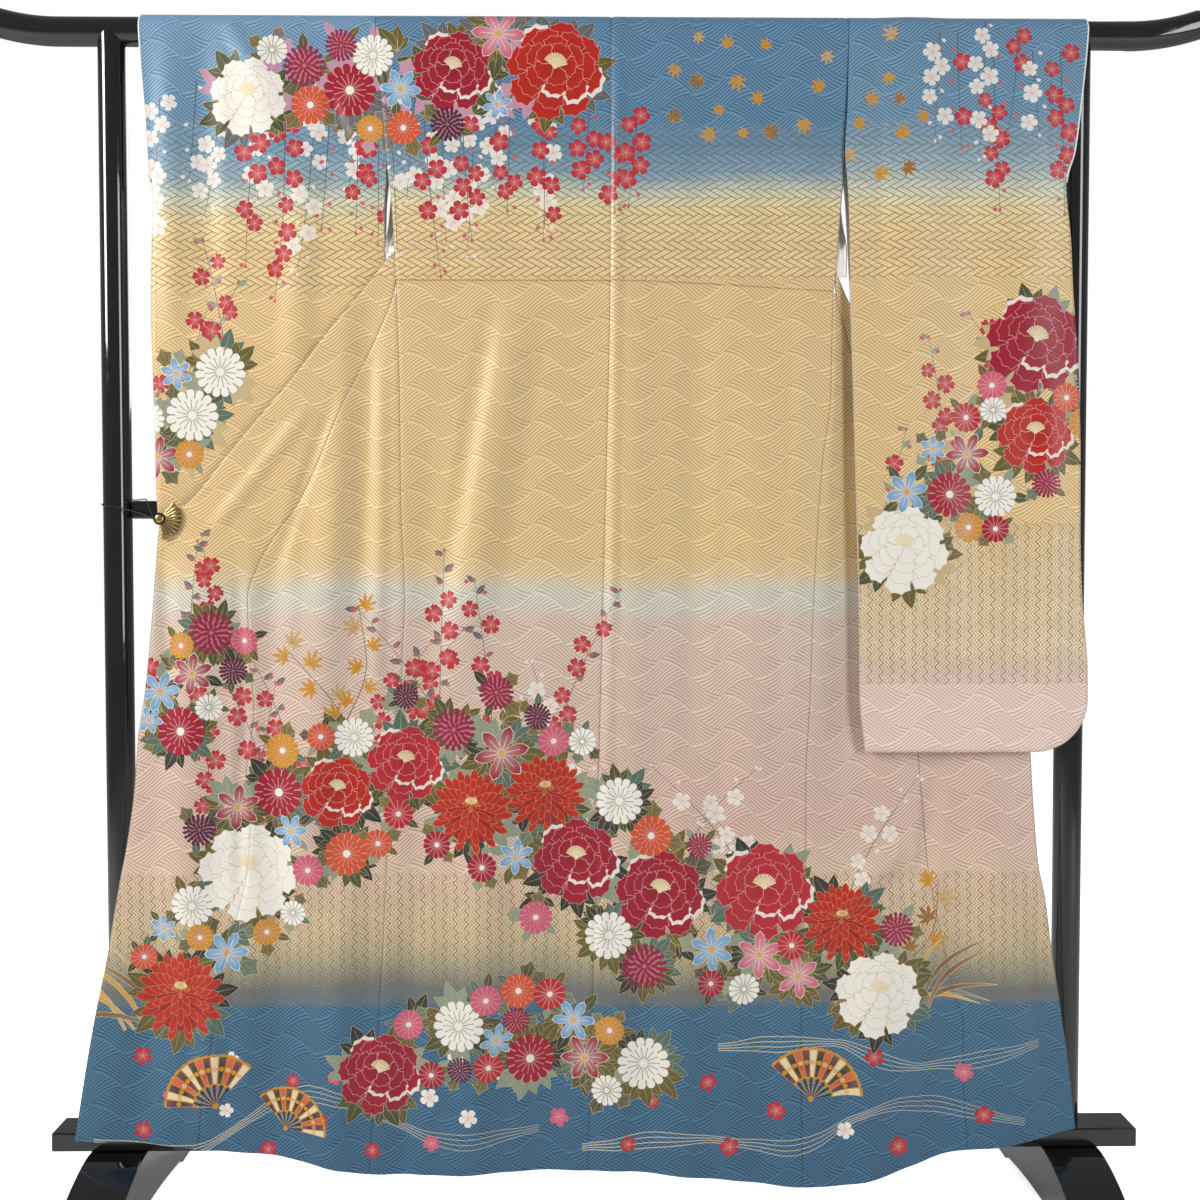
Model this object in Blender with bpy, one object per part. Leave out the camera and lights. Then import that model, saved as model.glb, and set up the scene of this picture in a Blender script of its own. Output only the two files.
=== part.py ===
"""A furisode kimono hung over a black lacquered kimono rack, its back to the viewer.

Metres, +Z up, the viewer at -Y. The floor is z = 0 and the rack's middle is x = y = 0.
Left and right are the viewer's. The cloth is lined silk, a thin wall that hangs in front
of the mid rail; both front panels are opened out past the side seams, the left one in
front of its sleeve and held by a fan clip, the right one behind its sleeve.
"""
import math

import bmesh
import bpy
from mathutils import Vector

# Cloth
CLOTH = 0.0015          # thickness of the lined silk
GAP = 0.0003            # between neighbouring pieces
CUFF_STOP = 1.45        # height where the sleeve opening ends and the arm seam ends
SLEEVE_BOTTOM = 0.655
SLEEVE_CORNER = 0.075   # radius of the sleeve's rounded corner
NECK_HALF = 0.085       # half the width of the neck hole
NECK_MIDDLE = 0.0215    # the centre back seam at the shoulder
COLLAR_WIDTH = 0.055
CUFF_ROLL = 0.0025      # how far the lining is rolled out at a cuff

# Rack
BAR_RADIUS = 0.0195
BAR_HEIGHT = 1.6585     # the bar's axis
BAR_HALF = 0.850
BAR_BEND = 0.745        # where the upturned tips begin
TIP_RISE = 0.018
POST_RADIUS = 0.0195
POST_X = 0.673
RAIL_HEIGHT = 0.995
RAIL_SIZE = (0.014, 0.025)
BOARD_HALF = 0.768
BOARD_DEPTH = 0.054
BOARD_THICK = 0.027
FOOT_HEIGHT = 0.0902
FOOT_WIDTH = 0.080
FOOT_HALF = 0.170
PAD_LENGTH = 0.035
ARCH_RISE = 0.014

FOLD_RADIUS = BAR_RADIUS + 0.0012 + CLOTH / 2   # the cloth's middle where it passes over the bar

# Heights of the cross rows that every hanging panel shares, from the bar to the hem
ROWS = (1.6585, 1.630, 1.593, 1.540, 1.490, 1.450, 1.420, 1.385, 1.3495, 1.3175, 1.295,
        1.250, 1.200, 1.145, 1.100, 1.050, 1.010, 0.982, 0.940, 0.900, 0.850, 0.800,
        0.750, 0.703, 0.660, 0.618, 0.563, 0.510, 0.455, 0.395, 0.340, 0.278, 0.220,
        0.160, 0.110)
ROW_FRONT_TIP_LEFT = 8     # the opened fronts start at these rows
ROW_FRONT_TIP_RIGHT = 9
ROW_SIDE_SEAM = 10
ROW_TUCK = 10              # the first row below the waist tuck
TUCK_LEVEL = 1.3065        # the tuck's middle height

# Edges and seams of the cloth: height, x
SIDE_LEFT = (
    (1.6700, -0.3060), (1.5930, -0.2980), (1.4900, -0.2900), (1.4500, -0.2865),
    (1.4200, -0.2828), (1.3495, -0.2788), (1.3175, -0.2775), (1.2950, -0.2765),
    (1.1330, -0.2725), (1.0070, -0.2715), (0.8690, -0.2665), (0.8000, -0.2695),
    (0.7030, -0.2725), (0.5630, -0.2855), (0.4930, -0.2925), (0.3950, -0.2970),
    (0.2960, -0.3030), (0.1900, -0.3090), (0.0600, -0.3180))
SIDE_RIGHT = (
    (1.6700, 0.3500), (1.5570, 0.3475), (1.4900, 0.3440), (1.4500, 0.3425),
    (1.4240, 0.3400), (1.3495, 0.3347), (1.3175, 0.3322), (1.2950, 0.3292),
    (1.1450, 0.3258), (1.0700, 0.3158), (0.9660, 0.3081), (0.8410, 0.3018),
    (0.7300, 0.2980), (0.6180, 0.2925), (0.5200, 0.2925), (0.3930, 0.2885),
    (0.2370, 0.2865), (0.0400, 0.2890))
CENTRE_BACK = (
    (1.6700, 0.0215), (1.3100, 0.0190), (0.8690, 0.0090), (0.4000, -0.0030),
    (0.0600, -0.0120))
SLEEVE_LEFT_INNER = (
    (1.6700, -0.3060), (1.5930, -0.2980), (1.4900, -0.2900), (1.4500, -0.2910),
    (1.4200, -0.2935), (1.3500, -0.2945), (1.0000, -0.3000), (0.6500, -0.3060))
SLEEVE_LEFT_OUTER = (
    (1.6750, -0.6290), (1.6100, -0.6260), (1.5160, -0.6200), (1.4200, -0.6170),
    (1.2840, -0.6205), (1.1190, -0.6160), (1.0200, -0.6145), (0.9200, -0.6080),
    (0.6500, -0.6110))
SLEEVE_RIGHT_INNER = (
    (1.6700, 0.3500), (1.5570, 0.3475), (1.4900, 0.3440), (1.4500, 0.3470),
    (1.4200, 0.3490), (1.3380, 0.3515), (1.0350, 0.3618), (0.8550, 0.3672),
    (0.7290, 0.3694), (0.6500, 0.3783))
SLEEVE_RIGHT_OUTER = (
    (1.6700, 0.6820), (1.6260, 0.6785), (1.5580, 0.6710), (1.4900, 0.6620),
    (1.4500, 0.6515), (1.3660, 0.6590), (1.2980, 0.6625), (1.2020, 0.6705),
    (1.0870, 0.6748), (0.9520, 0.6765), (0.8690, 0.6800), (0.7690, 0.6885),
    (0.6500, 0.6900))
SLEEVE_RIGHT_OUTER_FAR = (
    (1.6700, 0.6820), (1.6300, 0.6740), (1.5930, 0.6505), (1.4500, 0.6505))
OKUMI_SEAM_LEFT = (
    (1.3495, -0.2788), (1.3175, -0.2775), (1.2950, -0.2805), (1.2476, -0.2990),
    (1.1466, -0.3490), (1.0660, -0.3840), (1.0000, -0.4160), (0.9600, -0.4450),
    (0.9260, -0.4655), (0.8700, -0.4840), (0.8000, -0.4820), (0.7130, -0.4760),
    (0.6250, -0.4870), (0.5720, -0.4800), (0.5090, -0.4830), (0.3910, -0.5090),
    (0.3550, -0.5190), (0.2990, -0.5265), (0.2280, -0.5385), (0.1580, -0.5490),
    (0.0600, -0.5600))
OKUMI_EDGE_LEFT = (
    (1.3495, -0.2825), (1.2980, -0.3235), (1.2390, -0.3730), (1.1710, -0.4255),
    (1.1180, -0.4710), (1.0660, -0.5140), (1.0010, -0.5690), (0.9820, -0.6030),
    (0.9250, -0.6097), (0.8420, -0.6160), (0.7450, -0.6255), (0.6760, -0.6360),
    (0.6070, -0.6410), (0.5230, -0.6530), (0.4810, -0.6615), (0.4110, -0.6735),
    (0.3670, -0.6810), (0.3060, -0.6940), (0.2420, -0.7060), (0.1130, -0.7270))
OKUMI_SEAM_RIGHT = (
    (1.3175, 0.3322), (1.2950, 0.3335), (1.2400, 0.3500), (1.1500, 0.3760),
    (1.0500, 0.4010), (0.9000, 0.4280), (0.7500, 0.4450), (0.6000, 0.4590),
    (0.4570, 0.4712), (0.3940, 0.4857), (0.3090, 0.5047), (0.2780, 0.5150),
    (0.2100, 0.5150), (0.0600, 0.5240))
OKUMI_EDGE_RIGHT = (
    (1.3175, 0.3365), (1.2470, 0.3750), (1.1700, 0.4400), (1.0800, 0.5200),
    (0.9820, 0.6040), (0.9000, 0.6085), (0.7500, 0.6120), (0.6180, 0.6137),
    (0.5060, 0.6192), (0.4500, 0.6296), (0.3790, 0.6389), (0.3080, 0.6495),
    (0.2230, 0.6618), (0.1250, 0.6728))

# The hem: x, height
HEM = (
    (-0.7270, 0.1150), (-0.6460, 0.1120), (-0.5550, 0.1040), (-0.4630, 0.0945),
    (-0.3925, 0.0815), (-0.3560, 0.0728), (-0.3160, 0.0665), (-0.2310, 0.0650),
    (-0.0890, 0.0700), (0.0190, 0.0705), (0.0890, 0.0660), (0.1620, 0.0585),
    (0.2570, 0.0468), (0.2865, 0.0445), (0.3510, 0.0477), (0.4410, 0.0743),
    (0.5180, 0.0966), (0.5590, 0.0992), (0.6090, 0.1104), (0.6730, 0.1265))
HEM_REACH = 0.16        # how far up from the hem its slope is felt

# The seam of the tuck across both backs: x, height
WAIST_TUCK = ((-0.2780, 1.3135), (0.0200, 1.3135), (0.3330, 1.2993))

# How far in front of the bar's axis the cloth hangs: height, y
DEPTH_BACK = (
    (1.6585, -FOLD_RADIUS), (1.3000, -0.0240), (1.0000, -0.0295), (0.6000, -0.0380),
    (0.1000, -0.0470))
DEPTH_BEHIND_SLEEVE = (
    (1.3500, -0.0230), (1.2950, -0.0135), (1.0000, -0.0125), (0.7000, -0.0140),
    (0.6180, -0.0230), (0.5000, -0.0350), (0.1000, -0.0470))
DEPTH_SLEEVE_LEFT_NEAR = (
    (1.6585, -FOLD_RADIUS), (1.4500, -0.0185), (1.3000, -0.0155), (0.6500, -0.0155))
DEPTH_SLEEVE_LEFT_FAR = (
    (1.6585, FOLD_RADIUS), (1.4500, 0.0080), (1.2000, -0.0045), (1.0500, -0.0092),
    (0.6500, -0.0092))
DEPTH_SLEEVE_RIGHT_NEAR = (
    (1.6585, -FOLD_RADIUS), (1.4500, -0.0285), (1.3000, -0.0310), (0.6500, -0.0330))
DEPTH_SLEEVE_RIGHT_FAR = (
    (1.6585, FOLD_RADIUS), (1.5500, 0.0130), (1.4500, 0.0000), (1.3500, -0.0130),
    (1.2700, -0.0210), (1.1000, -0.0240), (0.6500, -0.0250))
DEPTH_SLEEVE_RIGHT_FAR_OUTER = (
    (1.6585, FOLD_RADIUS), (1.5930, FOLD_RADIUS), (1.5400, 0.0060), (1.4900, -0.0110),
    (1.4500, -0.0222), (1.1000, -0.0240), (0.6500, -0.0250))
DEPTH_UPPER_FRONT = (
    (1.6585, FOLD_RADIUS), (1.5400, 0.0240), (1.4500, 0.0190), (1.4000, 0.0060),
    (1.3495, -0.0216), (1.3175, -0.0216))

# The largest folds: x and height of the upper end, x and height of the lower end,
# half the width, and the rise towards the viewer
FOLDS_BODY = (
    (-0.1170, 1.2300, -0.1850, 0.8200, 0.050, 0.0060),
    (0.0550, 1.2500, 0.0500, 0.4500, 0.050, 0.0045),
    (0.2400, 1.1500, 0.2200, 0.5000, 0.060, 0.0050),
    (-0.2300, 1.0500, -0.2450, 0.4500, 0.045, -0.0045),
    (-0.0400, 0.6500, -0.0700, 0.0700, 0.050, -0.0050),
    (-0.1500, 0.6000, -0.1800, 0.0650, 0.055, 0.0070),
    (0.1300, 0.6000, 0.1200, 0.0600, 0.055, 0.0070),
    (-0.3150, 1.2500, -0.3300, 0.8800, 0.040, -0.0050),
    (-0.3600, 1.0500, -0.4050, 0.4500, 0.045, 0.0060),
    (-0.4500, 0.9300, -0.4550, 0.5000, 0.035, -0.0050),
    (-0.5500, 0.9000, -0.5750, 0.4000, 0.050, 0.0060),
    (-0.4300, 0.4500, -0.4500, 0.0950, 0.050, -0.0050),
    (-0.3550, 0.4500, -0.3700, 0.0750, 0.045, 0.0070),
    (-0.6000, 0.4200, -0.6450, 0.1100, 0.050, -0.0050))
FOLDS_RIGHT = (
    (0.4600, 0.6400, 0.4500, 0.4800, 0.045, -0.0060),
    (0.5600, 0.6000, 0.5900, 0.1500, 0.060, 0.0080),
    (0.4150, 0.5000, 0.3200, 0.4200, 0.045, 0.0080),
    (0.3900, 0.3900, 0.3900, 0.0600, 0.055, 0.0060),
    (0.4900, 0.3800, 0.4800, 0.0900, 0.045, -0.0060))
FOLDS_SLEEVE_LEFT = (
    (-0.5350, 1.6300, -0.5300, 1.3000, 0.050, -0.0040),
    (-0.4750, 1.6400, -0.4400, 1.4500, 0.050, 0.0040),
    (-0.3600, 1.5600, -0.3450, 1.4600, 0.045, -0.0030))
FOLDS_SLEEVE_RIGHT = (
    (0.4400, 1.6200, 0.4350, 1.1000, 0.060, 0.0040),
    (0.6100, 1.6000, 0.6000, 1.2000, 0.050, 0.0040))


def read(table, place):
    """The value that a two-column table gives at a place, on straight lines between rows."""
    rows = sorted(table)
    if place <= rows[0][0]:
        return rows[0][1]
    for (low, value_low), (high, value_high) in zip(rows, rows[1:]):
        if place <= high:
            return value_low + (value_high - value_low) * (place - low) / (high - low)
    return rows[-1][1]


def ease(amount):
    """0 to 1 with a soft start and end."""
    amount = min(1.0, max(0.0, amount))
    return amount * amount * (3.0 - 2.0 * amount)


def blend(first, second, amount):
    return first + (second - first) * amount


def spread(count):
    """count + 1 even steps from 0 to 1."""
    return [step / count for step in range(count + 1)]


def fold_rise(folds, x, z):
    """How far the folds of a table lift the cloth towards the viewer at a place."""
    total = 0.0
    for x_top, z_top, x_low, z_low, half_width, rise in folds:
        along = Vector((x_low - x_top, z_low - z_top))
        place = Vector((x - x_top, z - z_top))
        part = place.dot(along) / along.length_squared
        aside = abs(place.x * along.y - place.y * along.x) / along.length
        if aside < half_width:
            end_fade = ease((part + 0.25) / 0.4) * ease((1.25 - part) / 0.4)
            total += rise * end_fade * math.cos(math.pi / 2 * aside / half_width) ** 2
    return total


def above_tuck(x):
    return read(WAIST_TUCK, x) + GAP / 2


def below_tuck(x):
    return read(WAIST_TUCK, x) - GAP / 2


def hem_height(row_height, x):
    """Height of a point that lies in a row, where the hem's own slope bends it."""
    near_hem = ease(1.0 - (row_height - ROWS[-1]) / HEM_REACH)
    return row_height + (read(HEM, x) - ROWS[-1]) * near_hem


# What the objects are made of: colour, roughness, metallic
MATERIALS = {
    "silk": ((0.72, 0.55, 0.30, 1.0), 0.45, 0.0),
    "silk_lining": ((0.86, 0.84, 0.80, 1.0), 0.55, 0.0),
    "lacquer": ((0.010, 0.010, 0.012, 1.0), 0.10, 0.0),
    "old_brass": ((0.30, 0.22, 0.09, 1.0), 0.35, 1.0),
    "elastic": ((0.015, 0.015, 0.015, 1.0), 0.70, 0.0),
}


def clear_scene():
    for old in list(bpy.data.objects):
        bpy.data.objects.remove(old, do_unlink=True)


def finish(name, points, faces, material_name, smooth=True):
    """A named object from points and faces, with its normals pointing out."""
    mesh = bpy.data.meshes.new(name)
    mesh.from_pydata([tuple(point) for point in points], [], faces)
    shape = bmesh.new()
    shape.from_mesh(mesh)
    bmesh.ops.recalc_face_normals(shape, faces=shape.faces)
    shape.to_mesh(mesh)
    shape.free()
    if smooth:
        mesh.shade_smooth()
        mesh.set_sharp_from_angle(angle=math.radians(50))
    piece = bpy.data.objects.new(name, mesh)
    bpy.context.collection.objects.link(piece)
    colour, roughness, metallic = MATERIALS[material_name]
    material = bpy.data.materials.get(material_name)
    if material is None:
        material = bpy.data.materials.new(material_name)
        material.use_nodes = True
        surface = material.node_tree.nodes["Principled BSDF"]
        surface.inputs["Base Color"].default_value = colour
        surface.inputs["Roughness"].default_value = roughness
        surface.inputs["Metallic"].default_value = metallic
    mesh.materials.append(material)
    return piece


def wall(name, grid, outward, material_name):
    """A wall of cloth from a grid of middle points and the way out at each of them."""
    rows, columns = len(grid), len(grid[0])
    points = []
    for side in (0.5, -0.5):
        for row, out_row in zip(grid, outward):
            points += [point + out * (CLOTH * side) for point, out in zip(row, out_row)]
    half = rows * columns

    def at(side, row, column):
        return side * half + row * columns + column

    faces = []
    for row in range(rows - 1):
        for column in range(columns - 1):
            for side in (0, 1):
                faces.append((at(side, row, column), at(side, row, column + 1),
                              at(side, row + 1, column + 1), at(side, row + 1, column)))
    rim = [(0, column) for column in range(columns)]
    rim += [(row, columns - 1) for row in range(1, rows)]
    rim += [(rows - 1, column) for column in range(columns - 2, -1, -1)]
    rim += [(row, 0) for row in range(rows - 2, 0, -1)]
    for here, there in zip(rim, rim[1:] + rim[:1]):
        faces.append((at(0, *here), at(0, *there), at(1, *there), at(1, *here)))
    return finish(name, points, faces, material_name)


def over_bar(angle, x):
    """A middle point of cloth on the bar and the way out there; angle 0 is the far side,
    90 degrees the top and 180 the near side."""
    out = Vector((0.0, math.cos(angle), math.sin(angle)))
    return Vector((x, 0.0, BAR_HEIGHT)) + out * FOLD_RADIUS, out


NEAR = Vector((0.0, -1.0, 0.0))
FAR = Vector((0.0, 1.0, 0.0))
ARC_STEPS = 4           # steps of a quarter turn over the bar


def body_depth(x, z):
    """Depth of the near cloth: the backs and the left front with its okumi."""
    return read(DEPTH_BACK, z) - fold_rise(FOLDS_BODY, x, z)


BEHIND_BY = 0.003       # the right front is behind its sleeve this far before the sleeve's edge


def right_front_depth(x, z):
    """Depth of the right front, which leaves the side seam and passes behind its sleeve."""
    seam = read(SIDE_RIGHT, z)
    away = ease((x - seam) / (read(SLEEVE_RIGHT_INNER, z) - seam - BEHIND_BY))
    at_seam = body_depth(x, z)
    behind = read(DEPTH_BEHIND_SLEEVE, z) - fold_rise(FOLDS_RIGHT, x, z)
    return blend(at_seam, behind, away)


def hanging_panel(name, left, right, columns, rows, depth, over_shoulder=False):
    """A near panel between two edge tables. A row is a height, or a function that gives the
    height at x for a row along the tuck."""
    grid, outward = [], []
    if over_shoulder:
        for step in range(ARC_STEPS):
            angle = math.radians(90 + 90 * step / ARC_STEPS)
            if step == 0:
                angle += GAP / 2 / FOLD_RADIUS
            pairs = [over_bar(angle, blend(read(left, ROWS[0]) + GAP / 2,
                                           read(right, ROWS[0]) - GAP / 2, part))
                     for part in spread(columns)]
            grid.append([pair[0] for pair in pairs])
            outward.append([pair[1] for pair in pairs])
    for line in rows:
        level = TUCK_LEVEL if callable(line) else line
        x_left = read(left, level) + GAP / 2
        x_right = read(right, level) - GAP / 2
        row = []
        for part in spread(columns):
            x = blend(x_left, x_right, part)
            height = line(x) if callable(line) else line
            row.append(Vector((x, depth(x, height), hem_height(height, x))))
        grid.append(row)
        outward.append([NEAR] * len(row))
    wall(name, grid, outward, "silk")


def build_backs():
    """Each back above and below the waist tuck."""
    upper = ROWS[:ROW_TUCK] + (above_tuck,)
    lower = (below_tuck,) + ROWS[ROW_TUCK:]
    for side, left, right in (("left", SIDE_LEFT, CENTRE_BACK), ("right", CENTRE_BACK, SIDE_RIGHT)):
        hanging_panel("back_" + side + "_upper", left, right, 11, upper, body_depth, over_shoulder=True)
        hanging_panel("back_" + side, left, right, 11, lower, body_depth)


def build_fronts():
    below_seam = ROWS[ROW_SIDE_SEAM:]
    hanging_panel("front_left", OKUMI_SEAM_LEFT, SIDE_LEFT, 8, below_seam, body_depth)
    hanging_panel("okumi_left", OKUMI_EDGE_LEFT, OKUMI_SEAM_LEFT, 6, ROWS[ROW_FRONT_TIP_LEFT:],
                  body_depth)
    hanging_panel("front_right", SIDE_RIGHT, OKUMI_SEAM_RIGHT, 7, below_seam, right_front_depth)
    hanging_panel("okumi_right", OKUMI_SEAM_RIGHT, OKUMI_EDGE_RIGHT, 6, ROWS[ROW_FRONT_TIP_RIGHT:],
                  right_front_depth)


# Upper fronts, on the far side: height, x of the edge that carries the collar
NECK_LEFT = (
    (1.6585, -0.0750), (1.6300, -0.0830), (1.5930, -0.1000), (1.5400, -0.1350),
    (1.4900, -0.1750), (1.4500, -0.2100), (1.4200, -0.2380), (1.3850, -0.2640),
    (1.3495, -0.2802))
NECK_RIGHT = (
    (1.6585, 0.1180), (1.6300, 0.1260), (1.5930, 0.1430), (1.5400, 0.1780),
    (1.4900, 0.2200), (1.4500, 0.2520), (1.4200, 0.2790), (1.3850, 0.3060),
    (1.3495, 0.3280), (1.3175, 0.3345))
ARM_LEFT = (
    (1.6700, -0.3060), (1.5930, -0.2980), (1.4900, -0.2900), (1.4500, -0.2885),
    (1.4200, -0.2895), (1.3495, -0.2915))
ARM_RIGHT = (
    (1.6700, 0.3500), (1.5570, 0.3475), (1.4900, 0.3440), (1.4500, 0.3445),
    (1.3495, 0.3475), (1.3175, 0.3470))
UPPER_COLUMNS = 8
UPPER_FOLD = 0.004


def upper_depth(part, height):
    """Depth of an upper front, with soft folds that grow where it is gathered."""
    gather = ease((1.60 - height) / 0.20) * ease((height - 1.34) / 0.05)
    return read(DEPTH_UPPER_FRONT, height) + UPPER_FOLD * gather * math.sin(3 * math.pi * part)


def build_upper_front(name, neck, arm, last_row):
    grid, outward = [], []
    for step in range(ARC_STEPS):
        angle = math.radians(90 - 90 * step / ARC_STEPS)
        if step == 0:
            angle -= GAP / 2 / FOLD_RADIUS
        neck_x = neck_seam_x(neck, step)
        arm_x = read(arm, ROWS[0])
        inward = math.copysign(GAP / 2, neck_x - arm_x)
        pairs = [over_bar(angle, blend(arm_x + inward, neck_x - inward, part))
                 for part in spread(UPPER_COLUMNS)]
        grid.append([pair[0] for pair in pairs])
        outward.append([pair[1] for pair in pairs])
    for height in ROWS[:last_row + 1]:
        neck_x, arm_x = read(neck, height), read(arm, height)
        inward = math.copysign(GAP / 2, neck_x - arm_x)
        row = []
        for part in spread(UPPER_COLUMNS):
            x = blend(arm_x + inward, neck_x - inward, part)
            row.append(Vector((x, upper_depth(part, height), height)))
        grid.append(row)
        outward.append([FAR] * len(row))
    wall(name, grid, outward, "silk")


def neck_seam_x(neck, step):
    """Where the neck seam crosses the far quarter of the bar, a step from the top."""
    top = NECK_MIDDLE + math.copysign(NECK_HALF, neck[0][1] - NECK_MIDDLE)
    return blend(top, read(neck, ROWS[0]), step / ARC_STEPS)


def build_upper_fronts():
    build_upper_front("front_left_upper", NECK_LEFT, ARM_LEFT, ROW_FRONT_TIP_LEFT)
    build_upper_front("front_right_upper", NECK_RIGHT, ARM_RIGHT, ROW_FRONT_TIP_RIGHT)


COLLAR_LIFT = 0.007     # how far the collar stands up at the centre back
COLLAR_LOOSE = 0.002    # and how far it stands off everywhere past its seam
COLLAR_STEPS = 6        # across the collar
NECK_STATIONS = 8


def far_side(x, drop, lift=0.0):
    """A middle point on the far side, by the way it lies down the cloth from the ridge."""
    quarter = FOLD_RADIUS * math.pi / 2
    if drop < quarter:
        angle = math.pi / 2 - drop / FOLD_RADIUS
        point, out = over_bar(angle, x)
        return point + out * lift, out
    height = BAR_HEIGHT - (drop - quarter)
    return Vector((x, read(DEPTH_UPPER_FRONT, height) + lift, height)), FAR


def collar_side(neck, last_row):
    """Stations of the collar along one front: seam x, seam drop, free edge x, free edge drop."""
    quarter = FOLD_RADIUS * math.pi / 2
    towards_middle = -math.copysign(1.0, neck[0][1] - NECK_MIDDLE)
    places = [(neck_seam_x(neck, step), quarter * step / ARC_STEPS) for step in range(1, ARC_STEPS)]
    places += [(read(neck, height), quarter + BAR_HEIGHT - height) for height in ROWS[:last_row]]
    stations = []
    for number, (x, drop) in enumerate(places):
        turn = ease(number / (len(places) - 1))
        narrow = blend(1.0, 0.35, ease((number - len(places) + 4) / 3))
        lean = math.radians(blend(78, 32, turn))
        stations.append((x + towards_middle * GAP / 2, drop,
                         x + towards_middle * COLLAR_WIDTH * narrow * math.cos(lean),
                         drop + COLLAR_WIDTH * narrow * math.sin(lean)))
    return stations


def build_collar():
    left = collar_side(NECK_LEFT, ROW_FRONT_TIP_LEFT)
    right = collar_side(NECK_RIGHT, ROW_FRONT_TIP_RIGHT)
    neck = []
    for part in spread(NECK_STATIONS):
        x = NECK_MIDDLE + NECK_HALF * (2 * part - 1) * 0.96
        neck.append((x, GAP, NECK_MIDDLE + (x - NECK_MIDDLE) * 0.86, GAP + COLLAR_WIDTH))
    grid, outward = [], []
    for seam_x, seam_drop, free_x, free_drop in left[::-1] + neck + right:
        across = 1.0 - abs(seam_x - NECK_MIDDLE) / NECK_HALF
        row, out_row = [], []
        for part in spread(COLLAR_STEPS):
            lift = (COLLAR_LOOSE + COLLAR_LIFT * ease(across)) * ease(part * 3.0)
            point, out = far_side(blend(seam_x, free_x, part), blend(seam_drop, free_drop, part), lift)
            row.append(point)
            out_row.append(out)
        grid.append(row)
        outward.append(out_row)
    wall("collar", grid, outward, "silk_lining")


SLEEVE_COLUMNS = (0.0, 0.12, 0.25, 0.38, 0.51, 0.64, 0.76, 0.86, 0.94, 0.98, 1.0)
SLEEVE_LAST_ROW = 0.004     # rows nearer to the sleeve's bottom than this are left out
SLEEVE_BEND = 0.90          # height below which the rows bend to the rounded bottom
FURI_SHOW = 0.005           # how far the far face's open edge shows past the near one
FURI_HEIGHT = (1.40, 1.10)  # where it starts to show, and where it shows in full


def corner_rise(distance, radius):
    """Rise of a rounded corner at a distance from the sleeve's outer edge."""
    if distance >= radius:
        return 0.0
    return radius - math.sqrt(radius ** 2 - (radius - distance) ** 2)


def sleeve_surface(inner, outer_near, outer_far, depth_near, depth_far, inset):
    """Rows of one surface of the sleeve bag, from the near bottom over the bar to the far
    bottom; inset 0 is the outer surface and CLOTH the inner one."""
    heights = [height for height in ROWS if height > SLEEVE_BOTTOM + SLEEVE_LAST_ROW]
    heights.append(SLEEVE_BOTTOM)
    side = math.copysign(1.0, outer_near[0][1])

    def face_row(height, outer, depth, way, furi):
        closed = inset if height < CUFF_STOP - 0.001 else 0.0
        x_outer = read(outer, height) - side * closed
        x_inner = read(inner, height) + side * (GAP / 2 - furi)
        row = []
        for part in SLEEVE_COLUMNS:
            x = blend(x_inner, x_outer, part)
            low = SLEEVE_BOTTOM + inset + corner_rise(abs(x_outer - x), SLEEVE_CORNER - inset)
            bend = ease((SLEEVE_BEND - height) / (SLEEVE_BEND - SLEEVE_BOTTOM))
            z = height + (low - SLEEVE_BOTTOM) * bend
            row.append(Vector((x, depth(x, height) + way * (CLOTH / 2 - inset), z)))
        return row

    starts, full = FURI_HEIGHT
    near = [face_row(height, outer_near, depth_near, -1.0, 0.0) for height in heights[::-1]]
    far = [face_row(height, outer_far, depth_far, 1.0,
                    FURI_SHOW * ease((starts - height) / (starts - full))) for height in heights]
    arc = []
    for step in range(1, 2 * ARC_STEPS):
        angle = math.pi - math.pi / 2 * step / ARC_STEPS
        x_inner = read(inner, ROWS[0]) + side * GAP / 2
        x_outer = read(outer_near, ROWS[0])
        row = []
        for part in SLEEVE_COLUMNS:
            point, out = over_bar(angle, blend(x_inner, x_outer, part))
            row.append(point + out * (CLOTH / 2 - inset))
        arc.append(row)
    return near + arc + far


def build_sleeve(name, inner, outer_near, outer_far, depth_near, depth_far):
    """A bag: two faces over the bar, closed at the bottom and up its outer edge to the
    cuff, open at the cuff and all down its inner edge."""
    outside = sleeve_surface(inner, outer_near, outer_far, depth_near, depth_far, 0.0)
    inside = sleeve_surface(inner, outer_near, outer_far, depth_near, depth_far, CLOTH)
    rows, columns = len(outside), len(SLEEVE_COLUMNS)
    points = [point for surface in (outside, inside) for row in surface for point in row]

    def at(side, row, column):
        return side * rows * columns + (row % rows) * columns + column

    below_cuff = [height for height in ROWS
                  if SLEEVE_BOTTOM + SLEEVE_LAST_ROW < height < CUFF_STOP - 0.001]
    cuff_row = len(below_cuff) + 1
    last = columns - 1
    faces = []
    for side in (0, 1):
        for row in range(rows):
            for column in range(last):
                faces.append((at(side, row, column), at(side, row, column + 1),
                              at(side, row + 1, column + 1), at(side, row + 1, column)))
        for row in range(cuff_row):
            faces.append((at(side, row, last), at(side, row + 1, last),
                          at(side, rows - 2 - row, last), at(side, rows - 1 - row, last)))
    for row in range(rows):
        faces.append((at(0, row, 0), at(0, row + 1, 0), at(1, row + 1, 0), at(1, row, 0)))
    cuff = list(range(cuff_row, rows - cuff_row))
    for here, there in zip(cuff, cuff[1:] + cuff[:1]):
        faces.append((at(0, here, last), at(0, there, last), at(1, there, last), at(1, here, last)))
    return finish(name, points, faces, "silk")


def left_sleeve_near(x, z):
    return read(DEPTH_SLEEVE_LEFT_NEAR, z) - fold_rise(FOLDS_SLEEVE_LEFT, x, z)


def left_sleeve_far(x, z):
    return read(DEPTH_SLEEVE_LEFT_FAR, z)


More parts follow.
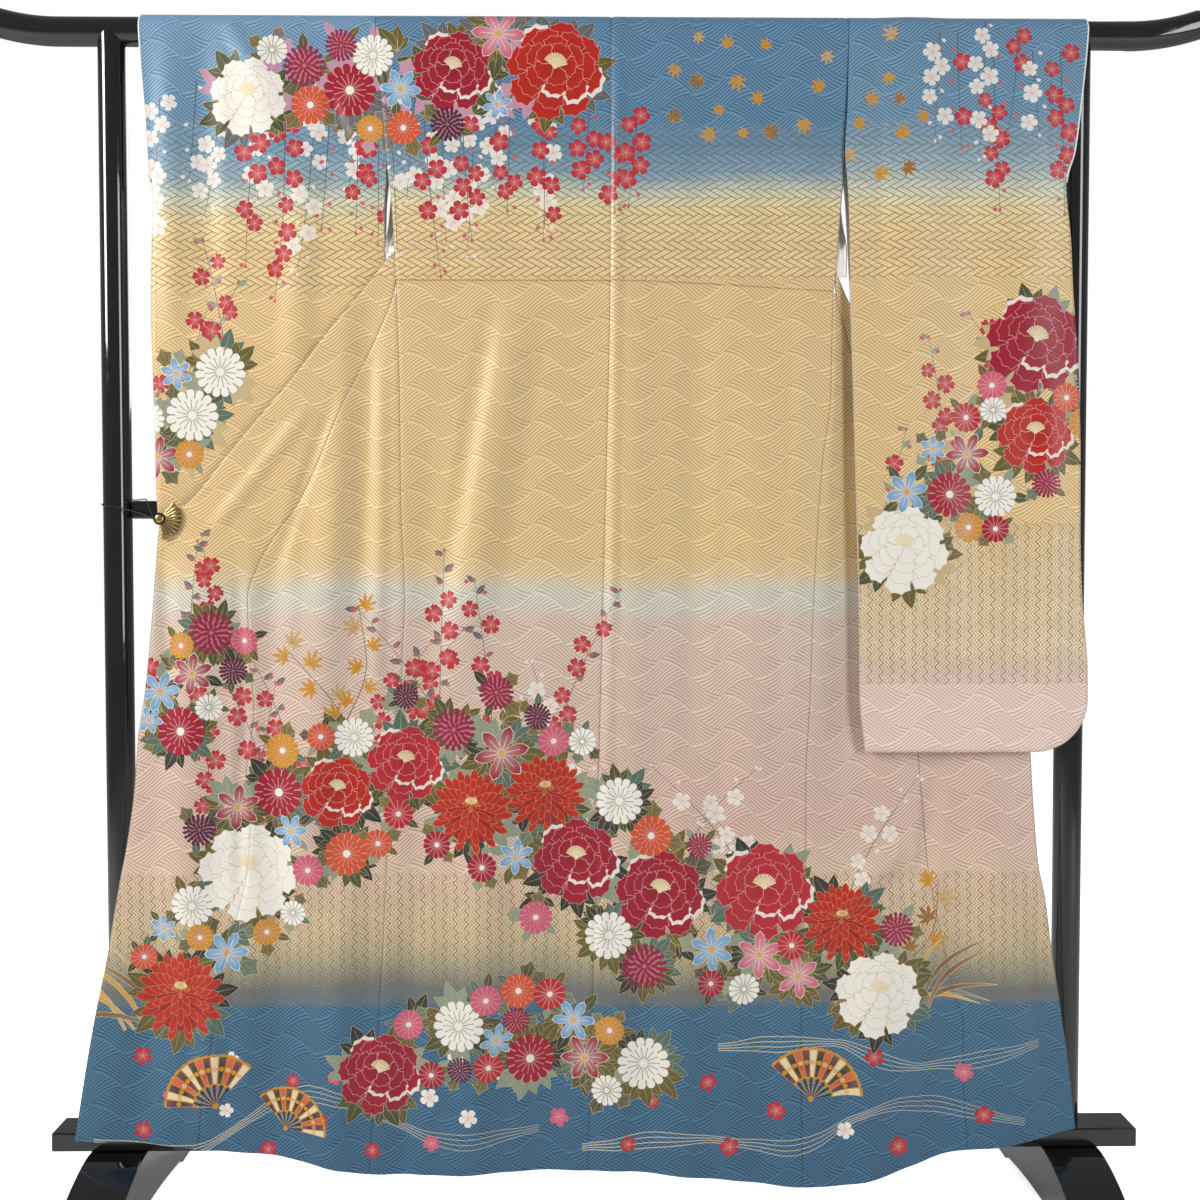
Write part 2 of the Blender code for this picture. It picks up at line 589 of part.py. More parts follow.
def right_sleeve_near(x, z):
    return read(DEPTH_SLEEVE_RIGHT_NEAR, z) - fold_rise(FOLDS_SLEEVE_RIGHT, x, z)


def right_sleeve_far(x, z):
    outer = ease((x - 0.52) / 0.12)
    return blend(read(DEPTH_SLEEVE_RIGHT_FAR, z), read(DEPTH_SLEEVE_RIGHT_FAR_OUTER, z), outer)


RIGHT_FAR_EDGE = SLEEVE_RIGHT_OUTER_FAR + tuple(
    (height, x) for height, x in SLEEVE_RIGHT_OUTER if height < CUFF_STOP)


def build_sleeves():
    build_sleeve("sleeve_left", SLEEVE_LEFT_INNER, SLEEVE_LEFT_OUTER, SLEEVE_LEFT_OUTER,
                 left_sleeve_near, left_sleeve_far)
    build_sleeve("sleeve_right", SLEEVE_RIGHT_INNER, SLEEVE_RIGHT_OUTER, RIGHT_FAR_EDGE,
                 right_sleeve_near, right_sleeve_far)


CUFF_FACES_APART = 0.012    # the far edge has a roll only where the faces are further apart


def build_cuff_edge(name, edge_near, edge_far, depth_near, depth_far):
    """The lining rolled out along a sleeve opening, from its stop over the bar and back."""
    side = math.copysign(1.0, edge_near[0][1])
    heights = [height for height in ROWS if height > CUFF_STOP - 0.001]
    grid, outward = [], []

    def add(x, place):
        pairs = [place(x + side * (GAP + CUFF_ROLL * part)) for part in spread(1)]
        grid.append([pair[0] for pair in pairs])
        outward.append([pair[1] for pair in pairs])

    for height in heights[::-1]:
        edge = read(edge_near, height)
        add(edge, lambda x: (Vector((x, depth_near(edge, height), height)), NEAR))
    for step in range(1, 2 * ARC_STEPS):
        angle = math.pi - math.pi / 2 * step / ARC_STEPS
        add(read(edge_near, ROWS[0]), lambda x: over_bar(angle, x))
    for height in heights:
        edge = read(edge_far, height)
        if depth_far(edge, height) > depth_near(edge, height) + CUFF_FACES_APART:
            add(edge, lambda x: (Vector((x, depth_far(edge, height), height)), FAR))
    wall(name, grid, outward, "silk_lining")


def build_cuffs():
    build_cuff_edge("cuff_edge_left", SLEEVE_LEFT_OUTER, SLEEVE_LEFT_OUTER,
                    left_sleeve_near, left_sleeve_far)
    build_cuff_edge("cuff_edge_right", SLEEVE_RIGHT_OUTER, RIGHT_FAR_EDGE,
                    right_sleeve_near, right_sleeve_far)


def ring(centre, radius, sides, across, up):
    """Points of a circle in the plane of two directions."""
    return [centre + across * (radius * math.cos(math.tau * k / sides))
            + up * (radius * math.sin(math.tau * k / sides)) for k in range(sides)]


def tube(name, rings, material_name, closed=False):
    """A solid through rings of points, capped at both ends unless it closes on itself."""
    sides = len(rings[0])
    points = [point for circle in rings for point in circle]
    faces = []
    spans = len(rings) if closed else len(rings) - 1
    for span in range(spans):
        first, second = span * sides, ((span + 1) % len(rings)) * sides
        for k in range(sides):
            after = (k + 1) % sides
            faces.append((first + k, first + after, second + after, second + k))
    if not closed:
        faces.append(tuple(range(sides)))
        faces.append(tuple(range(len(points) - sides, len(points))))
    return finish(name, points, faces, material_name)


def bar_height(x):
    """Height of the bar's axis, which turns up softly at both tips."""
    past = max(0.0, (abs(x) - BAR_BEND) / (BAR_HALF - BAR_BEND))
    return BAR_HEIGHT + TIP_RISE * past ** 2


def build_bar():
    reaches = [BAR_BEND, 0.770, 0.790, 0.810, 0.828, BAR_HALF - 0.004, BAR_HALF]
    stations = [-reach for reach in reaches[::-1]] + reaches
    rings = []
    for x in stations:
        slope = (bar_height(x + 0.001) - bar_height(x - 0.001)) / 0.002
        along = Vector((1.0, 0.0, slope if abs(x) < BAR_HALF - 0.01 else 0.0)).normalized()
        radius = BAR_RADIUS - (0.004 if abs(x) == BAR_HALF else 0.0)
        up = Vector((0.0, 1.0, 0.0)).cross(along) * -1.0
        rings.append(ring(Vector((x, 0.0, bar_height(x))), radius, 24, Vector((0.0, 1.0, 0.0)), up))
    tube("top_bar", rings, "lacquer")


def build_posts():
    """Round posts on the board, their tops hollowed to fit under the bar."""
    foot = FOOT_HEIGHT + GAP + BOARD_THICK + GAP
    cutter = bpy.data.objects.new("bar_seat", bpy.data.meshes.new("bar_seat"))
    shape = bmesh.new()
    bmesh.ops.create_cone(shape, cap_ends=True, segments=48, radius1=BAR_RADIUS + GAP,
                          radius2=BAR_RADIUS + GAP, depth=2.0)
    shape.to_mesh(cutter.data)
    shape.free()
    bpy.context.collection.objects.link(cutter)
    cutter.rotation_euler = (0.0, math.pi / 2, 0.0)
    cutter.location = (0.0, 0.0, BAR_HEIGHT)
    cutter.hide_render = True
    cutter.display_type = "WIRE"
    for name, x in (("post_left", -POST_X), ("post_right", POST_X)):
        rings = [ring(Vector((x, 0.0, z)), POST_RADIUS, 24, Vector((1, 0, 0)), Vector((0, 1, 0)))
                 for z in (foot, BAR_HEIGHT)]
        post = tube(name, rings, "lacquer")
        seat = post.modifiers.new("bar seat", "BOOLEAN")
        seat.object = cutter
        seat.operation = "DIFFERENCE"


def box(name, low, high, material_name, edge):
    """A block with its edges eased."""
    corners = [(x, y, z) for x in (low[0], high[0]) for y in (low[1], high[1])
               for z in (low[2], high[2])]
    faces = [(0, 1, 3, 2), (4, 6, 7, 5), (0, 4, 5, 1), (2, 3, 7, 6), (0, 2, 6, 4), (1, 5, 7, 3)]
    piece = finish(name, corners, faces, material_name)
    eased = piece.modifiers.new("eased edges", "BEVEL")
    eased.width = edge
    eased.segments = 2
    return piece


def build_rail_and_board():
    reach = POST_X - POST_RADIUS - GAP
    half_y, half_z = RAIL_SIZE[0] / 2, RAIL_SIZE[1] / 2
    box("mid_rail", (-reach, -half_y, RAIL_HEIGHT - half_z), (reach, half_y, RAIL_HEIGHT + half_z),
        "lacquer", 0.003)
    low = FOOT_HEIGHT + GAP
    box("lower_board", (-BOARD_HALF, -BOARD_DEPTH / 2, low),
        (BOARD_HALF, BOARD_DEPTH / 2, low + BOARD_THICK), "lacquer", 0.002)


# Side view of a foot: y, height of the top
FOOT_TOP = (
    (0.000, 0.0902), (0.034, 0.0902), (0.060, 0.0862), (0.090, 0.0770), (0.118, 0.0645),
    (0.142, 0.0470), (0.160, 0.0270), (0.170, 0.0100))


def foot_outline():
    """The foot's side view: an arched top, a toe at each end and a shallow arch beneath."""
    half = [(y, z) for y, z in FOOT_TOP[1:]] + [(FOOT_HALF, 0.0), (FOOT_HALF - PAD_LENGTH, 0.0)]
    reach = FOOT_HALF - PAD_LENGTH - 0.008
    for part in spread(4):
        y = reach * (1.0 - part)
        half.append((y, 0.006 + (ARCH_RISE - 0.006) * (1.0 - (y / reach) ** 2)))
    mirrored = [(-y, z) for y, z in half[-2::-1]]
    return half + mirrored


def build_feet():
    outline = foot_outline()
    for name, x in (("foot_left", -POST_X), ("foot_right", POST_X)):
        rings = [[Vector((x + side * FOOT_WIDTH / 2, y, z)) for y, z in outline] for side in (-1, 1)]
        tube(name, rings, "lacquer")


CLIP_PIVOT = Vector((-0.6035, 0.0, 0.9815))
CLIP_FRONT = -0.0335    # depth of the fan's back
FAN_RADIUS = 0.030
FAN_START, FAN_END = math.radians(-82), math.radians(52)
FAN_RIBS = 11
BOSS_RADIUS = 0.0085
ELASTIC_RADIUS = 0.0008


def build_clip():
    """A pleated fan of cast brass with a round boss at its pivot."""
    steps = 2 * FAN_RIBS
    points, faces = [], []
    for number in range(steps + 1):
        angle = blend(FAN_START, FAN_END, number / steps)
        ridge = 0.0011 * (number % 2)
        for radius in (BOSS_RADIUS + 0.0003, FAN_RADIUS - 0.0012 * (number % 2 == 0)):
            x = CLIP_PIVOT.x + radius * math.cos(angle)
            z = CLIP_PIVOT.z + radius * math.sin(angle)
            rise = ridge * radius / FAN_RADIUS
            points.append(Vector((x, CLIP_FRONT - 0.0012 - rise, z)))
            points.append(Vector((x, CLIP_FRONT - rise * 0.3, z)))
    for number in range(steps):
        a, b = 4 * number, 4 * (number + 1)
        faces += [(a, b, b + 2, a + 2), (a + 1, a + 3, b + 3, b + 1),
                  (a, a + 1, b + 1, b), (a + 2, b + 2, b + 3, a + 3)]
    faces.append((0, 2, 3, 1))
    end = 4 * steps
    faces.append((end, end + 1, end + 3, end + 2))
    finish("fan_clip", points, faces, "old_brass")
    rings = []
    for y, radius in ((CLIP_FRONT + 0.0008, BOSS_RADIUS), (CLIP_FRONT - 0.003, BOSS_RADIUS),
                      (CLIP_FRONT - 0.0042, BOSS_RADIUS - 0.0025), (CLIP_FRONT - 0.0048, 0.002)):
        rings.append(ring(Vector((CLIP_PIVOT.x, y, CLIP_PIVOT.z)), radius, 20,
                          Vector((1, 0, 0)), Vector((0, 0, 1))))
    tube("clip_boss", rings, "old_brass")


def build_elastic():
    """A closed loop of thin elastic from the boss round the left post, over the mid rail."""
    reach = POST_RADIUS + GAP + ELASTIC_RADIUS + 0.0004
    over_rail = RAIL_HEIGHT + RAIL_SIZE[1] / 2 + GAP + ELASTIC_RADIUS + 0.0004
    start = Vector((CLIP_PIVOT.x - BOSS_RADIUS - ELASTIC_RADIUS - GAP, CLIP_FRONT - 0.001,
                    CLIP_PIVOT.z))
    route = [start, start + Vector((-0.012, 0.0035, 0.005)), start + Vector((-0.030, 0.008, 0.011))]
    for part in spread(10):
        angle = math.radians(blend(-75, -300, part))
        route.append(Vector((-POST_X + reach * math.cos(angle), reach * math.sin(angle),
                             blend(0.9975, over_rail + 0.001, part))))
    route += [Vector((-0.6485, 0.0060, over_rail)), Vector((-0.6380, -0.0080, over_rail)),
              Vector((-0.6260, -0.0200, over_rail - 0.001)), start + Vector((-0.004, 0.004, 0.010)),
              start + Vector((0.0000, 0.0010, 0.003))]
    rings = []
    for number, point in enumerate(route):
        ahead = route[(number + 1) % len(route)] - route[number - 1]
        along = ahead.normalized()
        across = along.cross(Vector((0.0, 0.0, 1.0))).normalized()
        rings.append(ring(point, ELASTIC_RADIUS, 6, across, across.cross(along)))
    tube("clip_elastic", rings, "elastic", closed=True)


clear_scene()
build_backs()
build_fronts()
build_upper_fronts()
build_collar()
build_sleeves()
build_cuffs()
build_bar()
build_posts()
build_rail_and_board()
build_feet()
build_clip()
build_elastic()
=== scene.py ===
"""The looks of a furisode kimono that hangs over a lacquered kimono rack, back to the viewer.

Metres, +Z up, the viewer at -Y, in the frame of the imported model. Left and right are the
viewer's. A point of hanging cloth is named by x and s: s is its height on the viewer's side,
and it runs on over the bar and down the far side as the cloth does.
"""
import math
import random

import bmesh
import bpy
import numpy as np
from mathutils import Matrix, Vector
from mathutils.geometry import delaunay_2d_cdt
from mathutils.kdtree import KDTree


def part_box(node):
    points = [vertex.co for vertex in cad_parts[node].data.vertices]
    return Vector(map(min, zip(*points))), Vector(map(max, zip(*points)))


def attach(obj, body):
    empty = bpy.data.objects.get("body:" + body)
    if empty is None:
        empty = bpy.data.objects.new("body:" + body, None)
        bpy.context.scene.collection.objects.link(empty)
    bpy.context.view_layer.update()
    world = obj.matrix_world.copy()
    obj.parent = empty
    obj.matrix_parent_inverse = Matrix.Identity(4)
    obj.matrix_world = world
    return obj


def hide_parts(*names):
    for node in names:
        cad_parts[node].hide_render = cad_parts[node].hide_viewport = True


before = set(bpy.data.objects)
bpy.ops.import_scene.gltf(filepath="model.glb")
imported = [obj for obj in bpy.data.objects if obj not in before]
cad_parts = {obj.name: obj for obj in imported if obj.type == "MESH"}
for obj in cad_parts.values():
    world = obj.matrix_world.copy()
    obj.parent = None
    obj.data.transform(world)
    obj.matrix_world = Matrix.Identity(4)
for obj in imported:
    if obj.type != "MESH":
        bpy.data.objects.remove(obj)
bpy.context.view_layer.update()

# Camera, floor and light
# The camera stands in front of the kimono's back, a little above its middle. The floor is
# pale and plain, and large soft lamps stand at both sides of the camera and behind the rack.
scene = bpy.context.scene
scene.view_settings.view_transform = "Standard"


def in_scene(name, data):
    """A new object in the scene."""
    made = bpy.data.objects.new(name, data)
    scene.collection.objects.link(made)
    return made


camera = in_scene("camera", bpy.data.cameras.new("camera"))
camera.data.lens = 39.0
camera.location = (-0.015, -1.84, 0.928)
camera.rotation_euler = (math.radians(90 - 1.873), 0.0, math.radians(-0.636))
scene.camera = camera


def soft_lamp(name, place, aim, size, power, colour):
    lamp = in_scene(name, bpy.data.lights.new(name, "AREA"))
    lamp.data.shape = "RECTANGLE"
    lamp.data.size, lamp.data.size_y = size
    lamp.data.energy = power
    lamp.data.color = colour
    lamp.location = place
    lamp.rotation_euler = (Vector(aim) - Vector(place)).to_track_quat("-Z", "Y").to_euler()


soft_lamp("key", (-2.6, -1.3, 2.3), (0.0, 0.0, 0.9), (0.8, 1.5), 80.0, (1.0, 0.985, 0.96))
soft_lamp("fill", (2.4, -2.2, 1.5), (0.0, 0.0, 0.8), (0.9, 1.9), 36.0, (0.97, 0.985, 1.0))
soft_lamp("from_behind", (0.6, 2.6, 2.2), (0.0, 0.0, 0.9), (2.2, 1.6), 40.0, (1.0, 1.0, 1.0))


def put(tree, slot, value):
    """Gives a slot a fixed value, or feeds it with another slot or with a number on its way."""
    value = getattr(value, "socket", value)
    if isinstance(value, bpy.types.NodeSocket):
        tree.links.new(value, slot)
    else:
        slot.default_value = value


def put_all(tree, node, inputs):
    for name, value in inputs.items():
        put(tree, node.inputs[name.replace("_", " ")], value)


def add_node(tree, kind, **inputs):
    node = tree.nodes.new(kind)
    put_all(tree, node, inputs)
    return node


def where_seen(tree, slot, seen, elsewhere):
    """Gives a slot one value where the camera looks straight at it, and another for other light."""
    straight = tree.nodes.new("ShaderNodeLightPath").outputs["Is Camera Ray"]
    choice = add_node(tree, "ShaderNodeMapRange", Value=straight, To_Min=elsewhere, To_Max=seen)
    tree.links.new(choice.outputs["Result"], slot)


world = bpy.data.worlds.new("studio")
world.use_nodes = True
scene.world = world
sky = world.node_tree.nodes["Background"]
sky.inputs["Color"].default_value = (1.0, 1.0, 1.0, 1.0)
where_seen(world.node_tree, sky.inputs["Strength"], 1.0, 0.24)


def new_material(name, colour, roughness, **inputs):
    material = bpy.data.materials.new(name)
    material.use_nodes = True
    tree, surface = material.node_tree, material.node_tree.nodes["Principled BSDF"]
    put_all(tree, surface, {"Base Color": (*colour, 1.0), "Roughness": roughness, **inputs})
    return material, tree, surface


FLOOR_HALF = 9.0
corners = [(FLOOR_HALF * x, FLOOR_HALF * y, 0) for x, y in ((-1, -1), (1, -1), (1, 1), (-1, 1))]
floor_mesh = bpy.data.meshes.new("floor")
floor_mesh.from_pydata(corners, [], [(0, 1, 2, 3)])
floor_paint, tree, surface = new_material("floor_paint", (0.93, 0.93, 0.93), 0.7,
                                          Emission_Color=(1.0, 1.0, 1.0, 1.0))
where_seen(tree, surface.inputs["Emission Strength"], 0.8, 0.0)
floor_mesh.materials.append(floor_paint)
floor = in_scene("floor", floor_mesh)


# The rack
# Turned and planed wood under many coats of black lacquer, rubbed to a high gloss. The bar
# lies in hollowed post tops, and the posts are tenoned through a board into two arched feet.
class Wire:
    """A number on its way through a shader: arithmetic on it adds Math nodes."""

    def __init__(self, tree, socket):
        self.tree, self.socket = tree, socket

    def math(self, operation, *others):
        node = self.tree.nodes.new("ShaderNodeMath")
        node.operation = operation
        for slot, value in zip(node.inputs, (self, *others)):
            put(self.tree, slot, value)
        return Wire(self.tree, node.outputs[0])

    def __add__(self, other):
        return self.math("ADD", other)

    def __sub__(self, other):
        return self.math("SUBTRACT", other)

    def __mul__(self, other):
        return self.math("MULTIPLY", other)

    def __truediv__(self, other):
        return self.math("DIVIDE", other)

    def mix(self, first, second):
        """first where this is 0 and second where it is 1."""
        return (self * -1.0 + 1.0) * first + self * second

    def between(self, low, high):
        """0 below low, 1 above high, and a soft step between them."""
        node = add_node(self.tree, "ShaderNodeMapRange", Value=self, From_Min=low, From_Max=high)
        node.interpolation_type = "SMOOTHSTEP"
        return Wire(self.tree, node.outputs["Result"])

    def into(self, slot):
        self.tree.links.new(self.socket, slot)


def noise(tree, place, scale, detail):
    """An uneven grain over a place."""
    node = add_node(tree, "ShaderNodeTexNoise", Vector=place, Scale=scale, Detail=detail)
    return Wire(tree, node.outputs["Fac"])


def raised(tree, surface, height, strength, distance):
    """Lets the light fall on a surface as if it had a relief."""
    bump = add_node(tree, "ShaderNodeBump", Height=height, Strength=strength, Distance=distance)
    tree.links.new(bump.outputs["Normal"], surface.inputs["Normal"])


lacquer, tree, surface = new_material("black_lacquer", (0.006, 0.006, 0.007), 0.09,
                                      Coat_Weight=0.6, Coat_Roughness=0.04)
place = tree.nodes.new("ShaderNodeTexCoord").outputs["Object"]
gloss = noise(tree, place, 60.0, 4.0).between(0.35, 0.75) * 0.07 + 0.05
gloss.into(surface.inputs["Roughness"])
raised(tree, surface, noise(tree, place, 9.0, 2.0), 0.12, 0.0006)


def close_up(mesh, smooth_under, joined_under=0.0):
    """Faces out and edges shaded by angle, after near points are joined and holes closed if asked."""
    shape = bmesh.new()
    shape.from_mesh(mesh)
    if joined_under:
        bmesh.ops.remove_doubles(shape, verts=shape.verts, dist=joined_under)
        bmesh.ops.holes_fill(shape, edges=shape.edges, sides=0)
    bmesh.ops.recalc_face_normals(shape, faces=shape.faces)
    shape.to_mesh(mesh)
    shape.free()
    mesh.shade_smooth()
    mesh.set_sharp_from_angle(angle=math.radians(smooth_under))


def make_piece(name, points, faces, material, smooth_under=40.0):
    """A named object in place, with its faces pointing out and its edges shaded by angle."""
    mesh = bpy.data.meshes.new(name)
    mesh.from_pydata([tuple(point) for point in points], [], faces)
    close_up(mesh, smooth_under)
    mesh.materials.append(material)
    return in_scene(name, mesh)


def settle(piece, slot, *nodes):
    """The piece rides on the part and stands for its solids, which are hidden. The slot is not used."""
    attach(piece, "root")
    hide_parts(*nodes)


def through_rings(name, rings, material):
    """A solid skin through rings of points, closed at both ends."""
    sides = len(rings[0])
    points = [point for ring in rings for point in ring]
    faces = [(n * sides + k, n * sides + (k + 1) % sides, (n + 1) * sides + (k + 1) % sides,
              (n + 1) * sides + k) for n in range(len(rings) - 1) for k in range(sides)]
    faces += [tuple(range(sides)), tuple(range(len(points) - sides, len(points)))]
    return make_piece(name, points, faces, material)


BAR_RADIUS, BAR_AXIS = 0.0195, 1.6585
BAR_HALF, BAR_BEND, TIP_RISE, END_ROUND = 0.85, 0.745, 0.018, 0.006
ROUND_SIDES = 48


def circle(centre, radius, first, second, sides=ROUND_SIDES):
    turns = [math.tau * k / sides for k in range(sides)]
    return [centre + first * (radius * math.cos(turn)) + second * (radius * math.sin(turn))
            for turn in turns]


reaches = [BAR_BEND + (BAR_HALF - END_ROUND - BAR_BEND) * part for part in np.linspace(0, 1, 24)]
bar_ends = [(reach, BAR_RADIUS) for reach in reaches]
for turn in np.radians(np.linspace(12, 90, 7)):
    bar_ends.append((BAR_HALF - END_ROUND + END_ROUND * math.sin(turn),
                     BAR_RADIUS - END_ROUND + END_ROUND * math.cos(turn)))
bar_rings = []
for side, ends in ((-1.0, bar_ends[::-1]), (1.0, bar_ends)):
    for reach, radius in ends:
        past = (reach - BAR_BEND) / (BAR_HALF - BAR_BEND)
        lean = math.atan(side * 2 * TIP_RISE * past / (BAR_HALF - BAR_BEND))
        centre = Vector((side * reach, 0.0, BAR_AXIS + TIP_RISE * past ** 2))
        up = Vector((-math.sin(lean), 0.0, math.cos(lean)))
        bar_rings.append(circle(centre, radius, Vector((0, 1, 0)), up))
bar = through_rings("rack_bar", bar_rings, lacquer)
settle(bar, "lacquer", "top_bar")

POST_RADIUS = 0.0195
for name in ("post_left", "post_right"):
    low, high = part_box(name)
    centre = (low + high) / 2
    rings = [circle(Vector((centre.x, 0.0, height)), POST_RADIUS, Vector((1, 0, 0)), Vector((0, 1, 0)))
             for height in np.linspace(low.z, BAR_AXIS - 0.03, 5)]
    rings.append([Vector((point.x, point.y, BAR_AXIS - math.sqrt(BAR_RADIUS ** 2 - point.y ** 2 + 1e-9)))
                  for point in rings[-1]])
    post = through_rings("rack_" + name, rings, lacquer)
    settle(post, "lacquer", name)


def eased_block(name, low, high, edge):
    corners = [(x, y, z) for x in (low.x, high.x) for y in (low.y, high.y) for z in (low.z, high.z)]
    faces = [(0, 1, 3, 2), (4, 6, 7, 5), (0, 4, 5, 1), (2, 3, 7, 6), (0, 2, 6, 4), (1, 5, 7, 3)]
    block = make_piece(name, corners, faces, lacquer)
    eased = block.modifiers.new("eased edges", "BEVEL")
    eased.width, eased.segments = edge, 4
    eased.harden_normals = True
    return block


rail = eased_block("rack_mid_rail", *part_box("mid_rail"), 0.0035)
settle(rail, "lacquer", "mid_rail")
board = eased_block("rack_board", *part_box("lower_board"), 0.0028)
settle(board, "lacquer", "lower_board")

# A foot's side view: distance from its middle, height of the top
FOOT_TOP = ((0.0, 0.0902), (0.034, 0.0902), (0.06, 0.0862), (0.09, 0.077), (0.118, 0.0645),
            (0.142, 0.047), (0.16, 0.027), (0.17, 0.01))


def columns(*parts):
    return np.stack(parts, axis=-1)


def smooth_table(rows):
    """A function that reads a two-column table along a smooth curve that never overshoots."""
    place, value = np.array(sorted(rows), float).T
    step = np.diff(place)
    slope = np.diff(value) / step
    before, after = slope[:-1], slope[1:]
    same_way = before * after > 0
    middle = np.where(same_way, 2 * before * after / np.where(same_way, before + after, 1.0), 0.0)
    lean = np.concatenate([slope[:1], middle, slope[-1:]])

    def read(at):
        at = np.clip(at, place[0], place[-1])
        row = np.clip(np.searchsorted(place, at) - 1, 0, len(step) - 1)
        part = (at - place[row]) / step[row]
        return (value[row] * (1 + 2 * part) * (1 - part) ** 2
                + lean[row] * step[row] * part * (1 - part) ** 2
                + value[row + 1] * part ** 2 * (3 - 2 * part)
                + lean[row + 1] * step[row] * part ** 2 * (part - 1))
    return read


foot_top = smooth_table(FOOT_TOP)
FOOT_HALF, PAD_LENGTH, ARCH_RISE, PAD_STEP = 0.17, 0.035, 0.014, 0.006
arch_reach = FOOT_HALF - PAD_LENGTH - 0.008
half_outline = [(y, float(foot_top(y))) for y in np.linspace(0.01, FOOT_HALF, 26)]
half_outline += [(FOOT_HALF, 0.0), (FOOT_HALF - PAD_LENGTH, 0.0)]
half_outline += [(arch_reach * part, PAD_STEP + (ARCH_RISE - PAD_STEP) * (1 - part ** 2))
                 for part in np.linspace(1.0, 0.0, 9)]
outline = half_outline + [(-y, z) for y, z in half_outline[-2::-1]]
for name in ("foot_left", "foot_right"):
    low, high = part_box(name)
    points = [(x, y, z) for x in (low.x, high.x) for y, z in outline]
    count = len(outline)
    faces = [(k, (k + 1) % count, count + (k + 1) % count, count + k) for k in range(count)]
    faces += [tuple(range(count)), tuple(range(count, 2 * count))]
    foot = make_piece("rack_" + name, points, faces, lacquer, smooth_under=25.0)
    eased = foot.modifiers.new("eased edges", "BEVEL")
    eased.width, eased.segments, eased.limit_method = 0.0022, 3, "ANGLE"
    eased.angle_limit = math.radians(50)
    settle(foot, "lacquer", name)


# How the cloth hangs
# Straight lengths of silk 36 to 38 cm wide, sewn edge to edge by hand. Here are the seams and
# free edges as the photo shows them, the drape, and the creases. Height first, then x.
SIDE_LEFT = smooth_table((
    (1.67, -0.306), (1.593, -0.298), (1.49, -0.29), (1.45, -0.2865), (1.42, -0.2828), (1.3495, -0.2788),
    (1.3175, -0.2775), (1.295, -0.2765), (1.133, -0.2725), (1.007, -0.2715), (0.869, -0.2665),
    (0.8, -0.2695), (0.703, -0.2725), (0.563, -0.2855), (0.493, -0.2925), (0.395, -0.297), (0.296, -0.303),
    (0.19, -0.309), (0.06, -0.318)))
SIDE_RIGHT = smooth_table((
    (1.67, 0.35), (1.557, 0.3475), (1.49, 0.344), (1.45, 0.3425), (1.424, 0.34), (1.3495, 0.3347),
    (1.3175, 0.3322), (1.295, 0.3292), (1.145, 0.3258), (1.07, 0.3158), (0.966, 0.3081), (0.841, 0.3018),
    (0.73, 0.298), (0.618, 0.2925), (0.52, 0.2925), (0.393, 0.2885), (0.237, 0.2865), (0.04, 0.289)))
CENTRE_BACK = smooth_table((
    (1.67, 0.0215), (1.31, 0.019), (0.869, 0.009), (0.4, -0.003), (0.06, -0.012)))
OKUMI_SEAM_LEFT = smooth_table((
    (1.3495, -0.2788), (1.3175, -0.2775), (1.295, -0.2805), (1.2476, -0.299), (1.1466, -0.349),
    (1.066, -0.384), (1.0, -0.416), (0.96, -0.445), (0.926, -0.4655), (0.87, -0.484), (0.8, -0.482),
    (0.713, -0.476), (0.625, -0.487), (0.572, -0.48), (0.509, -0.483), (0.391, -0.509), (0.355, -0.519),
    (0.299, -0.5265), (0.228, -0.5385), (0.158, -0.549), (0.06, -0.56)))
OKUMI_EDGE_LEFT = smooth_table((
    (1.3495, -0.2825), (1.298, -0.3235), (1.239, -0.373), (1.171, -0.4255), (1.118, -0.471),
    (1.066, -0.514), (1.001, -0.569), (0.982, -0.603), (0.925, -0.6097), (0.842, -0.616), (0.745, -0.6255),
    (0.676, -0.636), (0.607, -0.641), (0.523, -0.653), (0.481, -0.6615), (0.411, -0.6735), (0.367, -0.681),
    (0.306, -0.694), (0.242, -0.706), (0.113, -0.727)))
OKUMI_SEAM_RIGHT = smooth_table((
    (1.3175, 0.3322), (1.295, 0.3335), (1.24, 0.35), (1.15, 0.376), (1.05, 0.401), (0.9, 0.428),
    (0.75, 0.445), (0.6, 0.459), (0.457, 0.4712), (0.394, 0.4857), (0.309, 0.5047), (0.278, 0.515),
    (0.21, 0.515), (0.06, 0.524)))
OKUMI_EDGE_RIGHT = smooth_table((
    (1.3175, 0.3365), (1.247, 0.375), (1.17, 0.44), (1.08, 0.52), (0.982, 0.604), (0.9, 0.6085),
    (0.75, 0.612), (0.618, 0.6137), (0.506, 0.6192), (0.45, 0.6296), (0.379, 0.6389), (0.308, 0.6495),
    (0.223, 0.6618), (0.125, 0.6728)))
# The hem: x, then height
HEM = smooth_table((
    (-0.727, 0.115), (-0.646, 0.112), (-0.555, 0.104), (-0.463, 0.0945), (-0.3925, 0.0815),
    (-0.356, 0.0728), (-0.316, 0.0665), (-0.231, 0.065), (-0.089, 0.07), (0.019, 0.0705), (0.089, 0.066),
    (0.162, 0.0585), (0.257, 0.0468), (0.2865, 0.0445), (0.351, 0.0477), (0.441, 0.0743), (0.518, 0.0966),
    (0.559, 0.0992), (0.609, 0.1104), (0.673, 0.1265)))
# The waist tuck's seam: x, then height
WAIST_TUCK = smooth_table(((-0.278, 1.3135), (0.02, 1.3135), (0.333, 1.2993)))

CLOTH = 0.0015
SEAM_GAP = 0.0003
OVER_BAR = 0.0222
QUARTER_TURN = OVER_BAR * math.pi / 2
RIDGE = BAR_AXIS + QUARTER_TURN
DOUBLE = 2 * RIDGE

